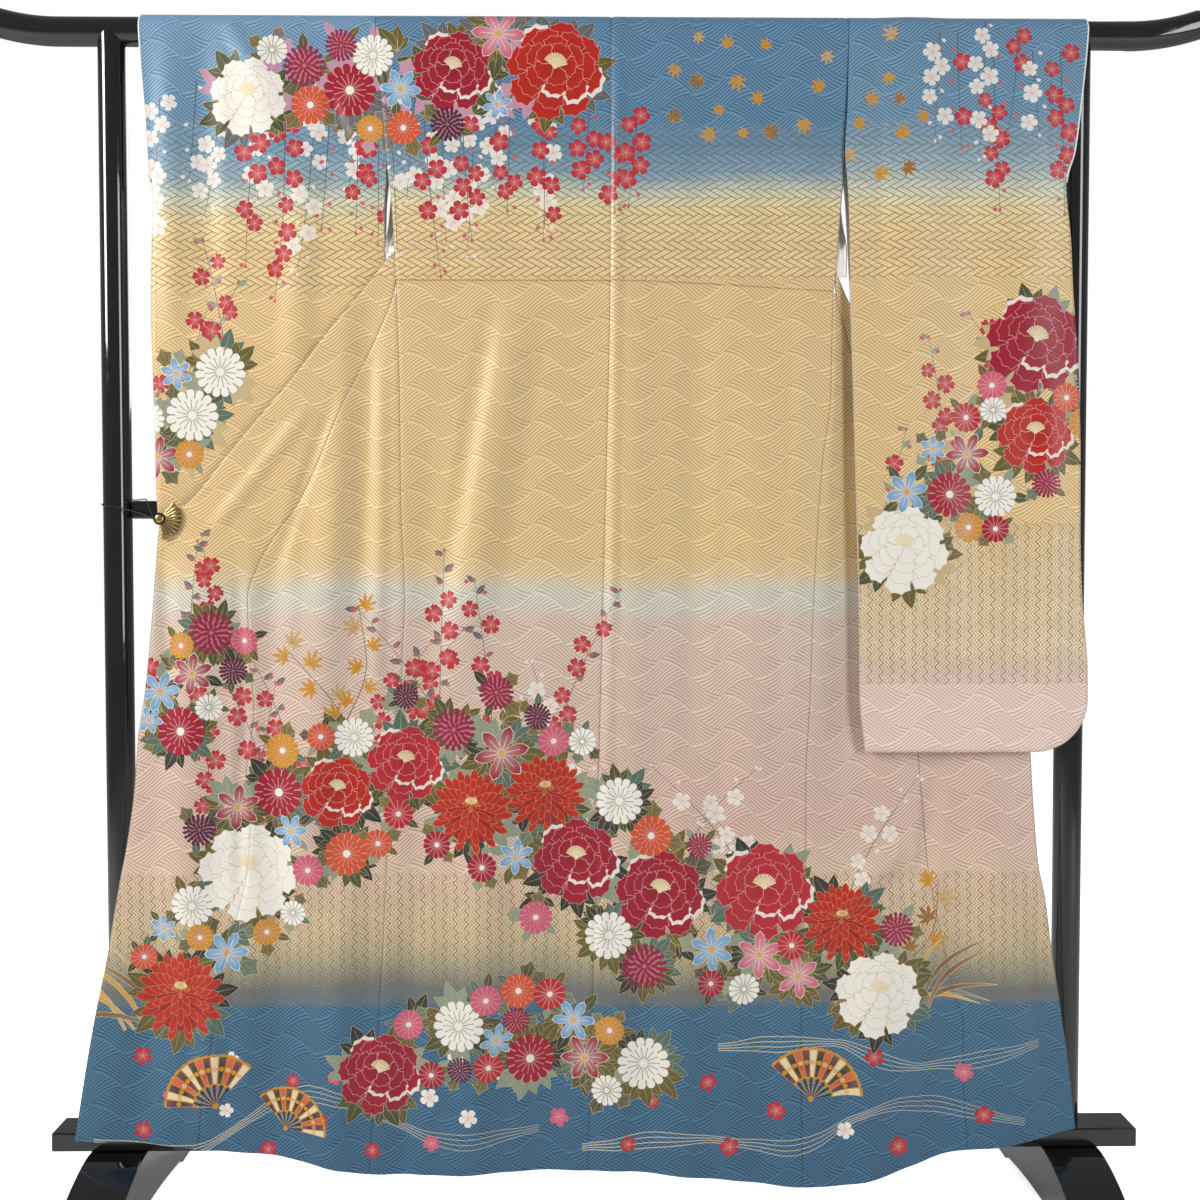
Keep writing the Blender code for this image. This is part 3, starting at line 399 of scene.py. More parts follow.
# Depth of the cloth's middle in front of the bar's axis, or behind it: height, then y
BACK_DEPTH = smooth_table((
    (1.6585, -0.02145), (1.3, -0.024), (1.0, -0.0295), (0.6, -0.038), (0.1, -0.047)))
BEHIND_SLEEVE_DEPTH = smooth_table((
    (1.35, -0.023), (1.295, -0.0135), (1.0, -0.0125), (0.7, -0.014), (0.618, -0.023), (0.5, -0.035),
    (0.1, -0.047)))
UPPER_FRONT_DEPTH = smooth_table((
    (1.6585, 0.02145), (1.54, 0.024), (1.45, 0.019), (1.4, 0.006), (1.3495, -0.0216), (1.3175, -0.0216)))

# Folds and creases: x and height of the upper end, x and height of the lower end, half the
# width, and the rise towards the viewer. A trough has a negative rise.
BODY_FOLDS = (
    (-0.117, 1.23, -0.185, 0.82, 0.05, 0.009), (-0.15, 1.24, -0.215, 0.86, 0.022, -0.003),
    (0.055, 1.25, 0.05, 0.45, 0.05, 0.006), (0.24, 1.15, 0.22, 0.5, 0.06, 0.007),
    (0.14, 1.22, 0.13, 0.65, 0.035, -0.004), (0.29, 1.2, 0.27, 0.7, 0.022, 0.0035),
    (-0.23, 1.05, -0.245, 0.45, 0.045, -0.006), (-0.04, 0.65, -0.07, 0.07, 0.05, -0.007),
    (-0.15, 0.6, -0.18, 0.065, 0.055, 0.009), (0.13, 0.6, 0.12, 0.06, 0.055, 0.009),
    (0.22, 0.55, 0.23, 0.06, 0.04, -0.006), (0.03, 0.35, 0.025, 0.07, 0.035, 0.005),
    (0.031, 1.56, 0.023, 0.92, 0.012, 0.0032), (0.023, 0.94, 0.007, 0.35, 0.012, 0.003),
    (-0.315, 1.25, -0.33, 0.88, 0.04, -0.007), (-0.3, 1.17, -0.305, 0.75, 0.018, 0.004),
    (-0.36, 1.05, -0.405, 0.45, 0.045, 0.008), (-0.45, 0.93, -0.455, 0.5, 0.035, -0.006),
    (-0.496, 0.88, -0.486, 0.66, 0.015, -0.0042), (-0.494, 0.68, -0.496, 0.48, 0.015, -0.0038),
    (-0.41, 1.12, -0.52, 0.98, 0.018, 0.0035), (-0.37, 1.13, -0.44, 0.93, 0.015, -0.003),
    (-0.55, 0.9, -0.575, 0.4, 0.05, 0.008), (-0.6, 0.92, -0.59, 0.74, 0.02, -0.004),
    (-0.43, 0.45, -0.45, 0.095, 0.05, -0.007), (-0.355, 0.45, -0.37, 0.075, 0.045, 0.009),
    (-0.6, 0.42, -0.645, 0.11, 0.05, -0.007), (-0.53, 0.38, -0.55, 0.11, 0.03, 0.006),
    (-0.255, 0.4, -0.27, 0.07, 0.035, -0.006))
RIGHT_FRONT_FOLDS = (
    (0.46, 0.64, 0.45, 0.48, 0.045, -0.006), (0.56, 0.6, 0.59, 0.15, 0.06, 0.009),
    (0.415, 0.51, 0.33, 0.43, 0.03, 0.009), (0.476, 0.6, 0.462, 0.48, 0.022, -0.007),
    (0.39, 0.39, 0.39, 0.06, 0.055, 0.007), (0.49, 0.38, 0.48, 0.09, 0.045, -0.008),
    (0.34, 0.33, 0.35, 0.07, 0.03, -0.006), (0.62, 0.4, 0.65, 0.14, 0.025, -0.005))


def ease(amount):
    """0 to 1 with a soft start and end."""
    amount = np.clip(amount, 0.0, 1.0)
    return amount * amount * (3.0 - 2.0 * amount)


def lifted(folds, x, s):
    """How far a table of folds lifts the cloth at flat places."""
    total = np.zeros_like(x)
    for x_top, s_top, x_low, s_low, half_width, rise in folds:
        run, drop = x_low - x_top, s_low - s_top
        length = math.hypot(run, drop)
        part = ((x - x_top) * run + (s - s_top) * drop) / length ** 2
        aside = np.abs((x - x_top) * drop - (s - s_top) * run) / length
        fade = ease((part + 0.25) / 0.4) * ease((1.25 - part) / 0.4)
        total += rise * fade * np.cos(math.pi / 2 * np.minimum(aside / half_width, 1.0)) ** 2
    return total


def hung(near, far=None, folds=()):
    """A function that puts flat places x, s in space: in front of the bar, over it, behind it."""
    def place(x, s):
        x, s = np.asarray(x, float), np.asarray(s, float)
        turn = np.clip((s - BAR_AXIS) / OVER_BAR, 0.0, math.pi)
        in_front, behind = turn <= 0.0, turn >= math.pi
        height = np.where(in_front, s, np.where(behind, DOUBLE - s, BAR_AXIS + OVER_BAR * np.sin(turn)))
        depth = -OVER_BAR * np.cos(turn)
        depth = np.where(in_front, near(x, height) - CLOTH / 2, depth)
        if far is not None:
            depth = np.where(behind, far(x, height) + CLOTH / 2, depth)
        lift = lifted(folds, x, s)
        return columns(x, depth - lift * np.cos(turn), height + lift * np.sin(turn))
    return place


def by_height(table):
    """A depth that depends on the height alone."""
    return lambda x, z: table(z)


back_near = by_height(BACK_DEPTH)


def outward(place, x, s):
    """The way out of the cloth's shown side."""
    step = 0.0004
    across = place(x + step, s) - place(x - step, s)
    along = place(x, s + step) - place(x, s - step)
    out = np.cross(across, along)
    return out / np.maximum(np.linalg.norm(out, axis=1, keepdims=True), 1e-12)


# The silk
# A figured silk with woven waves in it, dyed in soft bands, with a gold lattice and gold
# zigzags printed over parts of it and flowers painted in the dye. Its lining is plain white.
def new_group(name, inputs, outputs, kind="ShaderNodeTree"):
    """A node group with its sockets; returns the tree and its two end nodes."""
    group = bpy.data.node_groups.new(name, kind)
    for label, socket in inputs:
        group.interface.new_socket(label, in_out="INPUT", socket_type="NodeSocket" + socket)
    for label, socket in outputs:
        group.interface.new_socket(label, in_out="OUTPUT", socket_type="NodeSocket" + socket)
    return group, group.nodes.new("NodeGroupInput"), group.nodes.new("NodeGroupOutput")


def flat_place(group, start):
    """The two flat measures of the cloth, across and along it, in metres."""
    parts = add_node(group, "ShaderNodeSeparateXYZ", Vector=start.outputs["Flat"])
    return Wire(group, parts.outputs[0]), Wire(group, parts.outputs[1])


def woven_waves():
    """Rolling waves: lens-shaped cells, each filled with lines along one of its two sides."""
    group, start, end = new_group("woven_waves", [("Flat", "Vector")], [("Line", "Float"), ("Side", "Float")])
    across, along = flat_place(group, start)
    wave, rise, lines = 0.088, 0.0475, 9.0
    bent = along - (across * (math.tau / wave)).math("SINE") * 0.0053
    first = across / wave + bent / rise
    second = across / wave - bent / rise
    parity = ((first + 0.5).math("FLOOR") + (second + 0.5).math("FLOOR")).math("PINGPONG", 1.0)
    count = parity.mix(second, first)
    line = ((count * (math.tau * lines)).math("SINE") * 0.5 + 0.5).math("POWER", 1.5)
    other = parity.mix(first, second) + 0.5
    edge = (other - other.math("FLOOR") - 0.5).math("ABSOLUTE").between(0.5, 0.475)
    (line * edge).into(end.inputs["Line"])
    # Side tells the two families of cells apart; the silk paints one family lighter, as painted sheen.
    parity.into(end.inputs["Side"])
    return group


def plaited_lattice():
    """Lines of a lattice of short strips laid over and under each other on the slant."""
    group, start, end = new_group("plaited_lattice", [("Flat", "Vector")], [("Line", "Float")])
    across, along = flat_place(group, start)
    wide, high, run = 0.015, 0.008, 3.0
    first = across / wide + along / high
    second = across / wide - along / high
    column, row = first.math("FLOOR"), second.math("FLOOR")
    along_first, along_second = first - column, second - row
    turn = (column - row).math("FLOORED_MODULO", 2 * run)
    slanted = turn.math("LESS_THAN", run - 0.5)

    def line(distance):
        return distance.math("ABSOLUTE").between(0.125, 0.055)

    def end_line(distance, at):
        return line(distance) * (turn - at).math("ABSOLUTE").math("LESS_THAN", 0.5)

    def any_of(found, *others):
        for other in others:
            found = found.math("MAXIMUM", other)
        return found

    one = any_of(line(along_second), line(along_second - 1.0), end_line(along_first, 0.0),
                 end_line(along_first - 1.0, run - 1))
    two = any_of(line(along_first), line(along_first - 1.0), end_line(along_second - 1.0, run),
                 end_line(along_second, 2 * run - 1))
    slanted.mix(two, one).into(end.inputs["Line"])
    return group


def zigzag_lines():
    """Upright lines close beside each other that all zigzag together, every third one stronger."""
    group, start, end = new_group("zigzag_lines", [("Flat", "Vector")], [("Line", "Float")])
    across, along = flat_place(group, start)
    sway = (along / 0.0125).math("PINGPONG", 0.5) * 0.0135 + (along / 0.047).math("PINGPONG", 0.5) * 0.004
    place = (across - sway) / 0.0052
    number = place.math("FLOOR")
    strong = number.math("FLOORED_MODULO", 3.0).math("LESS_THAN", 0.5) * 0.4 + 0.6
    line = (place - number - 0.5).math("ABSOLUTE").between(0.33, 0.17)
    (line * strong).into(end.inputs["Line"])
    return group


WAVES, LATTICE, ZIGZAG = woven_waves(), plaited_lattice(), zigzag_lines()


def blend_colours(tree, amount, first, second, way="MIX"):
    node = tree.nodes.new("ShaderNodeMix")
    node.data_type, node.blend_type = "RGBA", way
    for slot, value in ((0, amount), (6, first), (7, second)):
        put(tree, node.inputs[slot], value)
    return node.outputs[2]


def read_attribute(tree, name):
    node = tree.nodes.new("ShaderNodeAttribute")
    node.attribute_name = name
    return node


def read_flat(tree):
    """The flat measures of the cloth, as a mesh keeps them."""
    node = tree.nodes.new("ShaderNodeUVMap")
    node.uv_map = "flat"
    return node.outputs[0]


silk, tree, surface = new_material("figured_silk", (0.8, 0.7, 0.5), 0.42, Sheen_Weight=0.25,
                                   Sheen_Roughness=0.35, Specular_IOR_Level=0.5)
flat = read_flat(tree)


def use_group(group):
    node = tree.nodes.new("ShaderNodeGroup")
    node.node_tree = group
    tree.links.new(flat, node.inputs["Flat"])
    return node


waves = use_group(WAVES)
gilt = add_node(tree, "ShaderNodeSeparateXYZ", Vector=read_attribute(tree, "gilt").outputs["Vector"])
rubbed = noise(tree, flat, 55.0, 3.0)
lattice_here = (Wire(tree, gilt.outputs["X"]) * 1.6 + rubbed - 0.55).between(0.35, 0.75)
zigzag_here = (Wire(tree, gilt.outputs["Y"]) * 1.5 + rubbed - 0.5).between(0.3, 0.75)
lattice = Wire(tree, use_group(LATTICE).outputs["Line"]) * lattice_here * 0.8
zigzag = Wire(tree, use_group(ZIGZAG).outputs["Line"]) * zigzag_here * 0.85
wave_line = Wire(tree, waves.outputs["Line"]) * (lattice_here.math("MAXIMUM", zigzag_here) * -0.6 + 1.0)
# The cloth's colour as the mesh holds it: its dye, with painted shade along the body's seams.
dye_and_seam_shade = read_attribute(tree, "cloth_colour").outputs["Color"]
# Painted sheen: the woven waves are the weave's own figure, but their light and dark are painted into the
# colour. The ground between the lines is lightened, one family of wave cells more than the other, and the
# lines are darkened.
light = blend_colours(tree, 1.0, dye_and_seam_shade, Wire(tree, waves.outputs["Side"]) * -0.07 + 1.13, "MULTIPLY")
deep = add_node(tree, "ShaderNodeGamma", Color=dye_and_seam_shade, Gamma=1.4)
dark = blend_colours(tree, 1.0, deep.outputs["Color"], (0.72, 0.72, 0.72, 1.0), "MULTIPLY")
ground = blend_colours(tree, wave_line, light, dark)
ground = blend_colours(tree, lattice, ground, (0.16, 0.105, 0.035, 1.0))
ground = blend_colours(tree, zigzag, ground, (0.24, 0.125, 0.035, 1.0))
painted = read_attribute(tree, "paint")
# Painted sheen: the painted flowers are darkened a little along the woven lines as well.
paint = blend_colours(tree, 1.0, painted.outputs["Color"], wave_line * -0.08 + 1.02, "MULTIPLY")
cover = painted.outputs["Alpha"]
tree.links.new(blend_colours(tree, cover, ground, paint), surface.inputs["Base Color"])
(wave_line * 0.14 + 0.4).into(surface.inputs["Roughness"])
raised(tree, surface, noise(tree, flat, 900.0, 1.0) * 0.1 + wave_line * 0.55 + lattice * 0.3, 0.55, 0.00022)

lining, tree, surface = new_material("plain_silk_lining", (0.86, 0.84, 0.79), 0.45, Sheen_Weight=0.2)
raised(tree, surface, noise(tree, read_flat(tree), 700.0, 1.0), 0.3, 0.0001)


# Cutting and laying the cloth
# Every piece is cut flat, along its outline and along every painted shape, in squares a hand
# wide so that the cutting stays quick. Then it is hung, lined and closed along its rim.
def box_of(points):
    return points.min(axis=0), points.max(axis=0)


class Paint:
    """A painted shape: its edge, the colour at its middle and at its rim, and how well it covers."""

    def __init__(self, edge, middle, rim=None, cover=1.0, centre=None, reach=None, fine=False):
        self.edge = np.asarray(edge, float)
        self.middle, self.rim, self.cover, self.fine = middle, rim or middle, cover, fine
        self.centre = self.edge.mean(0) if centre is None else np.asarray(centre, float)
        far = np.linalg.norm(self.edge - self.centre, axis=1).max()
        self.reach = far if reach is None else reach
        self.low, self.high = box_of(self.edge)


def inside(edge, places):
    """Which places lie inside a closed edge."""
    a, b = edge, np.roll(edge, -1, axis=0)
    x, y = places[:, :1], places[:, 1:]
    crosses = (a[:, 1] > y) != (b[:, 1] > y)
    rise = b[:, 1] - a[:, 1]
    at = a[:, 0] + (y - a[:, 1]) * (b[:, 0] - a[:, 0]) / np.where(rise == 0.0, 1.0, rise)
    return (crosses & (x < at)).sum(axis=1) % 2 == 1


NET, LINING_NET = 0.006, 0.008
SQUARE = 8
SIDE = NET * SQUARE
TOUCHING, SAME_POINT, ON_OUTLINE = 1e-9, 2e-6, 2e-5


def split_at_squares(line):
    """The same line with points wherever it crosses a side of a square, and none far apart."""
    made = [line[0]]
    for a, b in zip(line, line[1:]):
        parts = math.ceil(math.dist(a, b) / (1.5 * NET))
        cuts = [part / parts for part in range(1, parts)]
        for axis in (0, 1):
            first, last = sorted((a[axis] / SIDE, b[axis] / SIDE))
            for number in range(math.ceil(first), math.floor(last) + 1):
                if first < number < last:
                    cuts.append((number * SIDE - a[axis]) / (b[axis] - a[axis]))
        made += [a + (b - a) * cut for cut in sorted(cuts)] + [b]
    return made


def steps_of(lines):
    """All steps of some lines: where they start, where they end."""
    starts, ends = [np.zeros((0, 2))], [np.zeros((0, 2))]
    for line in lines:
        line = split_at_squares(list(line))
        starts.append(line[:-1])
        ends.append(line[1:])
    return np.vstack(starts), np.vstack(ends)


def steps_near(steps, corner, far_corner):
    """Those steps that touch a square."""
    starts, ends = steps
    past_corner = np.maximum(starts, ends) >= corner - TOUCHING
    short_of_far = np.minimum(starts, ends) <= far_corner + TOUCHING
    near = (past_corner & short_of_far).all(axis=1)
    return starts[near], ends[near]


def triangulated(points, pairs, closeness):
    """A flat net over the points, with each pair of points joined: its points and triangles."""
    cut = delaunay_2d_cdt([Vector(point) for point in points], pairs, [], 0, closeness, False)
    made = np.array([tuple(point) for point in cut[0]])
    return made, np.array([face for face in cut[2] if len(face) == 3], int).reshape(-1, 3)


def triangles_of(outline, corner, far_corner, points, border, starts, ends):
    """A square's triangles inside the outline, cut along the steps, and the triangles' middles."""
    first, number = len(points), len(starts)
    pairs = border + [(first + k, first + number + k) for k in range(number)]
    made, faces = triangulated(np.vstack([points, starts, ends]), pairs, 1e-6)
    middle = made[faces].mean(axis=1)
    keep = inside(outline, middle) & ((middle > corner) & (middle < far_corner)).all(axis=1)
    return made, faces[keep], middle[keep]


def topmost(paints, places, paint_low, paint_high):
    """The number of the last paint over each place, or -1."""
    owner = np.full(len(places), -1)
    if len(paints) and len(places):
        low, high = box_of(places)
        for which in np.flatnonzero((paint_high >= low).all(axis=1) & (paint_low <= high).all(axis=1)):
            within = ((places >= paint_low[which]) & (places <= paint_high[which])).all(axis=1)
            maybe = np.flatnonzero(within)
            if len(maybe):
                owner[maybe[inside(paints[which].edge, places[maybe])]] = which
    return owner


def sides_of(faces):
    return np.vstack([faces[:, (0, 1)], faces[:, (1, 2)], faces[:, (2, 0)]])


def showing(faces, owner):
    """The triangle sides between two different paints."""
    pairs, index = np.unique(np.sort(sides_of(faces), axis=1), axis=0, return_inverse=True)
    index = index.reshape(-1)
    lowest, highest = np.full(len(pairs), len(faces) ** 2 + 10 ** 6), np.full(len(pairs), -1)
    np.minimum.at(lowest, index, np.tile(owner, 3))
    np.maximum.at(highest, index, np.tile(owner, 3))
    return pairs[lowest != highest]


def wound(points, triangles):
    """The triangles, all wound the same way."""
    a, b, c = (points[triangles[:, k]] for k in range(3))
    backwards = (b - a)[:, 0] * (c - a)[:, 1] - (b - a)[:, 1] * (c - a)[:, 0] < 0
    triangles[backwards] = triangles[backwards][:, ::-1]
    return triangles


def round_net(net):
    """The numbers of a net's points along its border, in turn."""
    return np.concatenate([net[0], net[1:, -1], net[-1, -2::-1], net[-2:0:-1, 0]])


def cut_flat(outline, paints, guides):
    """Points, triangles and the paint on each triangle (-1 for none) of a piece cut flat."""
    fixed = steps_of([np.vstack([outline, outline[:1]]), *guides])
    drawn = steps_of([np.vstack([paint.edge, paint.edge[:1]]) for paint in paints])
    low, high = box_of(outline)
    paint_low = np.array([paint.low for paint in paints]).reshape(-1, 2)
    paint_high = np.array([paint.high for paint in paints]).reshape(-1, 2)
    wide = SQUARE + 1
    ring = round_net(np.arange(wide * wide).reshape(wide, wide))
    border = columns(ring, np.roll(ring, -1)).tolist()
    corners, triangles, owners, count = [], [], [], 0
    wide_range, high_range = (range(math.floor(low[k] / SIDE), math.ceil(high[k] / SIDE)) for k in (0, 1))
    for column, row in ((column, row) for column in wide_range for row in high_range):
        xs, ys = ((first * SQUARE + np.arange(wide)) * NET for first in (column, row))
        grid = np.stack(np.meshgrid(xs, ys), axis=-1).reshape(-1, 2)
        corner, far_corner = grid[0], grid[-1]
        own, over = steps_near(fixed, corner, far_corner), steps_near(drawn, corner, far_corner)
        if not len(own[0]) and not inside(outline, grid[:1]).any():
            continue
        starts, ends = (np.vstack(both) for both in zip(own, over))
        made, faces, middle = triangles_of(outline, corner, far_corner, grid, border, starts, ends)
        owner = topmost(paints, middle, paint_low, paint_high)
        if len(over[0]) and len(faces):
            sides = showing(faces, owner)
            used = made[np.unique(faces)]
            to_rim = np.minimum(np.abs(used - corner), np.abs(used - far_corner))
            places = np.vstack([grid, used[(to_rim < SAME_POINT).any(axis=1)]])
            starts, ends = (np.vstack([own[k], made[sides[:, k]]]) for k in (0, 1))
            made, faces, middle = triangles_of(outline, corner, far_corner, places, border, starts, ends)
            owner = topmost(paints, middle, paint_low, paint_high)
        corners.append(made)
        triangles.append(faces + count)
        owners.append(owner)
        count += len(made)
    corners, triangles, owners = np.vstack(corners), np.vstack(triangles), np.concatenate(owners)
    _, first, same = np.unique(np.round(corners / SAME_POINT).astype(np.int64), axis=0,
                               return_index=True, return_inverse=True)
    triangles = same.reshape(-1)[triangles]
    corners = corners[first]
    whole = np.diff(np.sort(triangles, axis=1), axis=1).all(axis=1)
    triangles = wound(corners, triangles[whole])
    used, renumbered = np.unique(triangles, return_inverse=True)
    return corners[used], renumbered.reshape(-1, 3), owners[whole]


def distance_to(outline, places):
    """How far each place is from the outline."""
    along = np.roll(outline, -1, axis=0) - outline
    length = np.maximum((along ** 2).sum(axis=1), 1e-18)
    best = np.full(len(places), 1e9)
    for start, way, size in zip(outline, along, length):
        part = np.clip(((places - start) @ way) / size, 0.0, 1.0)
        best = np.minimum(best, np.linalg.norm(places - start - part[:, None] * way, axis=1))
    return best


def cut_flat_lining(rim_points, rim_pairs, outline):
    """The lining's points and triangles: a coarse net inside the same rim."""
    low, high = box_of(outline)
    xs, ys = (np.arange(math.ceil(low[axis] / LINING_NET), high[axis] / LINING_NET) * LINING_NET
              for axis in (0, 1))
    grid = np.stack(np.meshgrid(xs, ys), axis=-1).reshape(-1, 2)
    grid = grid[inside(outline, grid)]
    grid = grid[distance_to(outline, grid) > 0.003]
    made, faces = triangulated(np.vstack([rim_points, grid]), rim_pairs.tolist(), 1e-7)
    return made, wound(made, faces[inside(outline, made[faces].mean(axis=1))])


def rim_of(outline, flat, faces):
    """The sides of the cut cloth's triangles that lie on its outline."""
    sides = sides_of(faces)
    _, index, times = np.unique(np.sort(sides, axis=1), axis=0, return_index=True, return_counts=True)
    rim = sides[index[times == 1]]
    return rim[distance_to(outline, flat[rim].mean(axis=1)) < ON_OUTLINE]


def fill(rows, key, values, kind=np.float32):
    rows.foreach_set(key, np.asarray(values, kind).reshape(-1))


def lay_cloth(name, outline, place, cloth_colour_of, gilt_of, paints=(), guides=()):
    """A lined piece of cloth: the shown side with its paint, the lining, and the rim between."""
    low, high = box_of(outline)
    paints = [paint for paint in paints if (paint.high >= low).all() and (paint.low <= high).all()]
    flat, faces, owners = cut_flat(outline, paints, guides)
    rim = rim_of(outline, flat, faces)
    rim_points, rim_again = np.unique(rim, return_inverse=True)
    inner_flat, inner_faces = cut_flat_lining(flat[rim_points], rim_again.reshape(-1, 2), outline)
    out, inner_out = outward(place, *flat.T), outward(place, *inner_flat.T)
    points = np.vstack([place(*flat.T), place(*inner_flat.T) - inner_out * CLOTH])
    both = np.vstack([flat, inner_flat])

    count = len(flat)
    nearest = KDTree(len(inner_flat))
    for number, point in enumerate(inner_flat):
        nearest.insert((point[0], point[1], 0.0), number)
    nearest.balance()
    partner = {int(point): count + nearest.find((*flat[point], 0.0))[1] for point in rim_points}
    quads = np.array([(b, a, partner[int(a)], partner[int(b)]) for a, b in rim])
    triangles = np.vstack([faces, inner_faces[:, ::-1] + count])
    loops = np.concatenate([triangles.reshape(-1), quads.reshape(-1)])
    first_quad_loop = len(triangles) * 3
    loop_starts = np.concatenate([np.arange(len(triangles)) * 3, first_quad_loop + np.arange(len(quads)) * 4])
    mesh = bpy.data.meshes.new(name)
    mesh.vertices.add(len(points))
    fill(mesh.vertices, "co", points)
    mesh.loops.add(len(loops))
    fill(mesh.loops, "vertex_index", loops, np.int32)
    mesh.polygons.add(len(loop_starts))
    fill(mesh.polygons, "loop_start", loop_starts, np.int32)
    is_lining = np.concatenate([np.zeros(len(faces)), np.ones(len(inner_faces)), np.zeros(len(quads))])
    fill(mesh.polygons, "material_index", is_lining, np.int32)
    mesh.update(calc_edges=True)
    for material in (silk, lining):
        mesh.materials.append(material)

    fill(mesh.uv_layers.new(name="flat").uv, "vector", both[loops])
    # The cloth's colour at each point: its dye, and on the body's panels also the painted shade along the
    # seams.
    cloth_colour = mesh.color_attributes.new("cloth_colour", "FLOAT_COLOR", "POINT")
    fill(cloth_colour.data, "color", np.hstack([cloth_colour_of(*both.T), np.ones((len(both), 1))]))
    fill(mesh.attributes.new("gilt", "FLOAT_VECTOR", "POINT").data, "vector", gilt_of(*both.T))
    covers = np.zeros((len(loops), 4))
    for which in np.unique(owners[owners >= 0]):
        shape = paints[which]
        corner = (np.flatnonzero(owners == which)[:, None] * 3 + np.arange(3)).reshape(-1)
        far = np.linalg.norm(flat[loops[corner]] - shape.centre, axis=1)
        part = np.clip(far / shape.reach, 0.0, 1.0)[:, None]
        covers[corner, :3] = np.array(shape.middle) * (1 - part) + np.array(shape.rim) * part
        covers[corner, 3] = shape.cover
    fill(mesh.color_attributes.new("paint", "FLOAT_COLOR", "CORNER").data, "color", covers)

    normals = np.vstack([out, -inner_out])[loops]
    a, b, c = (points[quads[:, k]] for k in range(3))
    way = np.cross(b - a, c - a)
    way /= np.maximum(np.linalg.norm(way, axis=1, keepdims=True), 1e-12)
    normals[first_quad_loop:] = np.repeat(way, 4, axis=0)
    fill(mesh.polygons, "use_smooth", np.ones(len(loop_starts)), bool)
    mesh.normals_split_custom_set(normals.astype(np.float32).tolist())
    return in_scene(name, mesh)


# The painted pattern
# Flowers and leaves of the usual kinds, with folding fans and flowing water among them, painted by
# hand in the dye with fine pale or gold outlines. A function draws each kind, and drifts place them.
def dyestuff(red, green, blue):
    """A dye's colour for the shader, from what the eye sees of it, 0 to 255."""
    seen = np.array((red, green, blue)) / 255.0
    return tuple(np.where(seen <= 0.04045, seen / 12.92, ((seen + 0.055) / 1.055) ** 2.4))


WHITE, CREAM, PALE_PINK = dyestuff(240, 236, 226), dyestuff(232, 216, 176), dyestuff(226, 166, 160)
RED, CRIMSON, DARK_RED = dyestuff(184, 34, 48), dyestuff(158, 14, 44), dyestuff(112, 10, 18)
VERMILION, ORANGE, PEACH = dyestuff(186, 32, 14), dyestuff(208, 84, 46), dyestuff(226, 148, 104)
MAGENTA, PINK, PURPLE = dyestuff(148, 22, 66), dyestuff(206, 92, 120), dyestuff(82, 26, 60)
LILAC, BLUE, SLATE = dyestuff(192, 140, 172), dyestuff(104, 160, 202), dyestuff(88, 92, 102)
MUSTARD, GOLD, BROWN = dyestuff(204, 142, 34), dyestuff(196, 150, 70), dyestuff(122, 86, 52)
BEIGE, BLACK, GREEN = dyestuff(198, 176, 132), dyestuff(30, 20, 26), dyestuff(62, 72, 38)
GREY_GREEN, TEAL = dyestuff(136, 150, 130), dyestuff(70, 104, 96)
OLIVE, DARK_GREEN = dyestuff(92, 84, 30), dyestuff(16, 34, 34)


def mixed(first, second, part):
    return tuple(a * (1 - part) + b * part for a, b in zip(first, second))


def moved(shape, at, size, turn=0.0):
    """A shape drawn upright at size 1, scaled, turned clockwise by degrees and put in place."""
    angle = math.radians(turn)
    c, s = math.cos(angle), math.sin(angle)
    shape = np.asarray(shape, float) * size
    return columns(shape[:, 0] * c + shape[:, 1] * s, shape[:, 1] * c - shape[:, 0] * s) + at


def towards(turn, far):
    """The step from a place to one that lies so far from it, turned clockwise from upright."""
    return moved([(0, far)], (0, 0), 1.0, turn)[0]


def polar(angle, far):
    """A point of an upright shape, by its angle from upright and its distance from the middle."""
    return far * math.sin(angle), far * math.cos(angle)


def add(shape, at, size, turn, middle, *looks, **more):
    """One more shape on the list that is painted now, drawn upright at size 1 and moved to its place."""
    painted.append(Paint(moved(shape, at, size, turn), middle, *looks, **more))


def mirrored(half, rise):
    """An outline from its right side."""
    right = columns(half, rise)
    return np.vstack([right, right[1:-1][::-1] * (-1, 1)])


def petal(wide, base=0.3, tip=0.0, steps=5):
    """A rounded petal from 0 to 1; base is how narrow it starts, tip how far it is notched."""
    turns = np.linspace(0, math.pi, steps + 1)
    rise = (1 - np.cos(turns)) / 2
    half = wide * np.sin(turns) * (base + (1 - base) * rise)
    return mirrored(half, np.where(turns > 3.0, rise - tip, rise))


def blade(wide, steps=4):
    """A leaf or petal from 0 to 1 with two pointed ends."""
    rise = np.linspace(0, 1, steps + 1)
    return mirrored(wide * np.sin(math.pi * rise ** 0.85), rise)


def disc(sides):
    turns = np.arange(sides) * math.tau / sides
    return columns(np.sin(turns), np.cos(turns))


# A blossom's petal, as degrees from the petal's middle and distance from the flower's
ROUND_LOBE = ((-36, 0.52), (-28, 0.84), (-12, 1.0), (12, 1.0), (28, 0.84))
NOTCHED_LOBE = ((-36, 0.4), (-27, 0.82), (-11, 1.0), (0, 0.85), (11, 1.0), (27, 0.82))
LEAF = blade(0.24)
LINE, PETAL_LINE, FLOWER_LINE, STROKE = 0.0004, 0.00032, 0.0003, 0.0006


def ray(count, start, gap=0.022):
    """One of count petals that lie edge to edge round a middle, with a rounded tip."""
    spread = math.tan(math.pi / count)
    wide = 0.84 * spread - gap
    right = [(max(0.003, start * spread - gap), start), (wide, 0.84), (wide * 0.82, 0.94), (wide * 0.4, 0.99)]
    return np.array(right + [(-x, rise) for x, rise in right[::-1]])


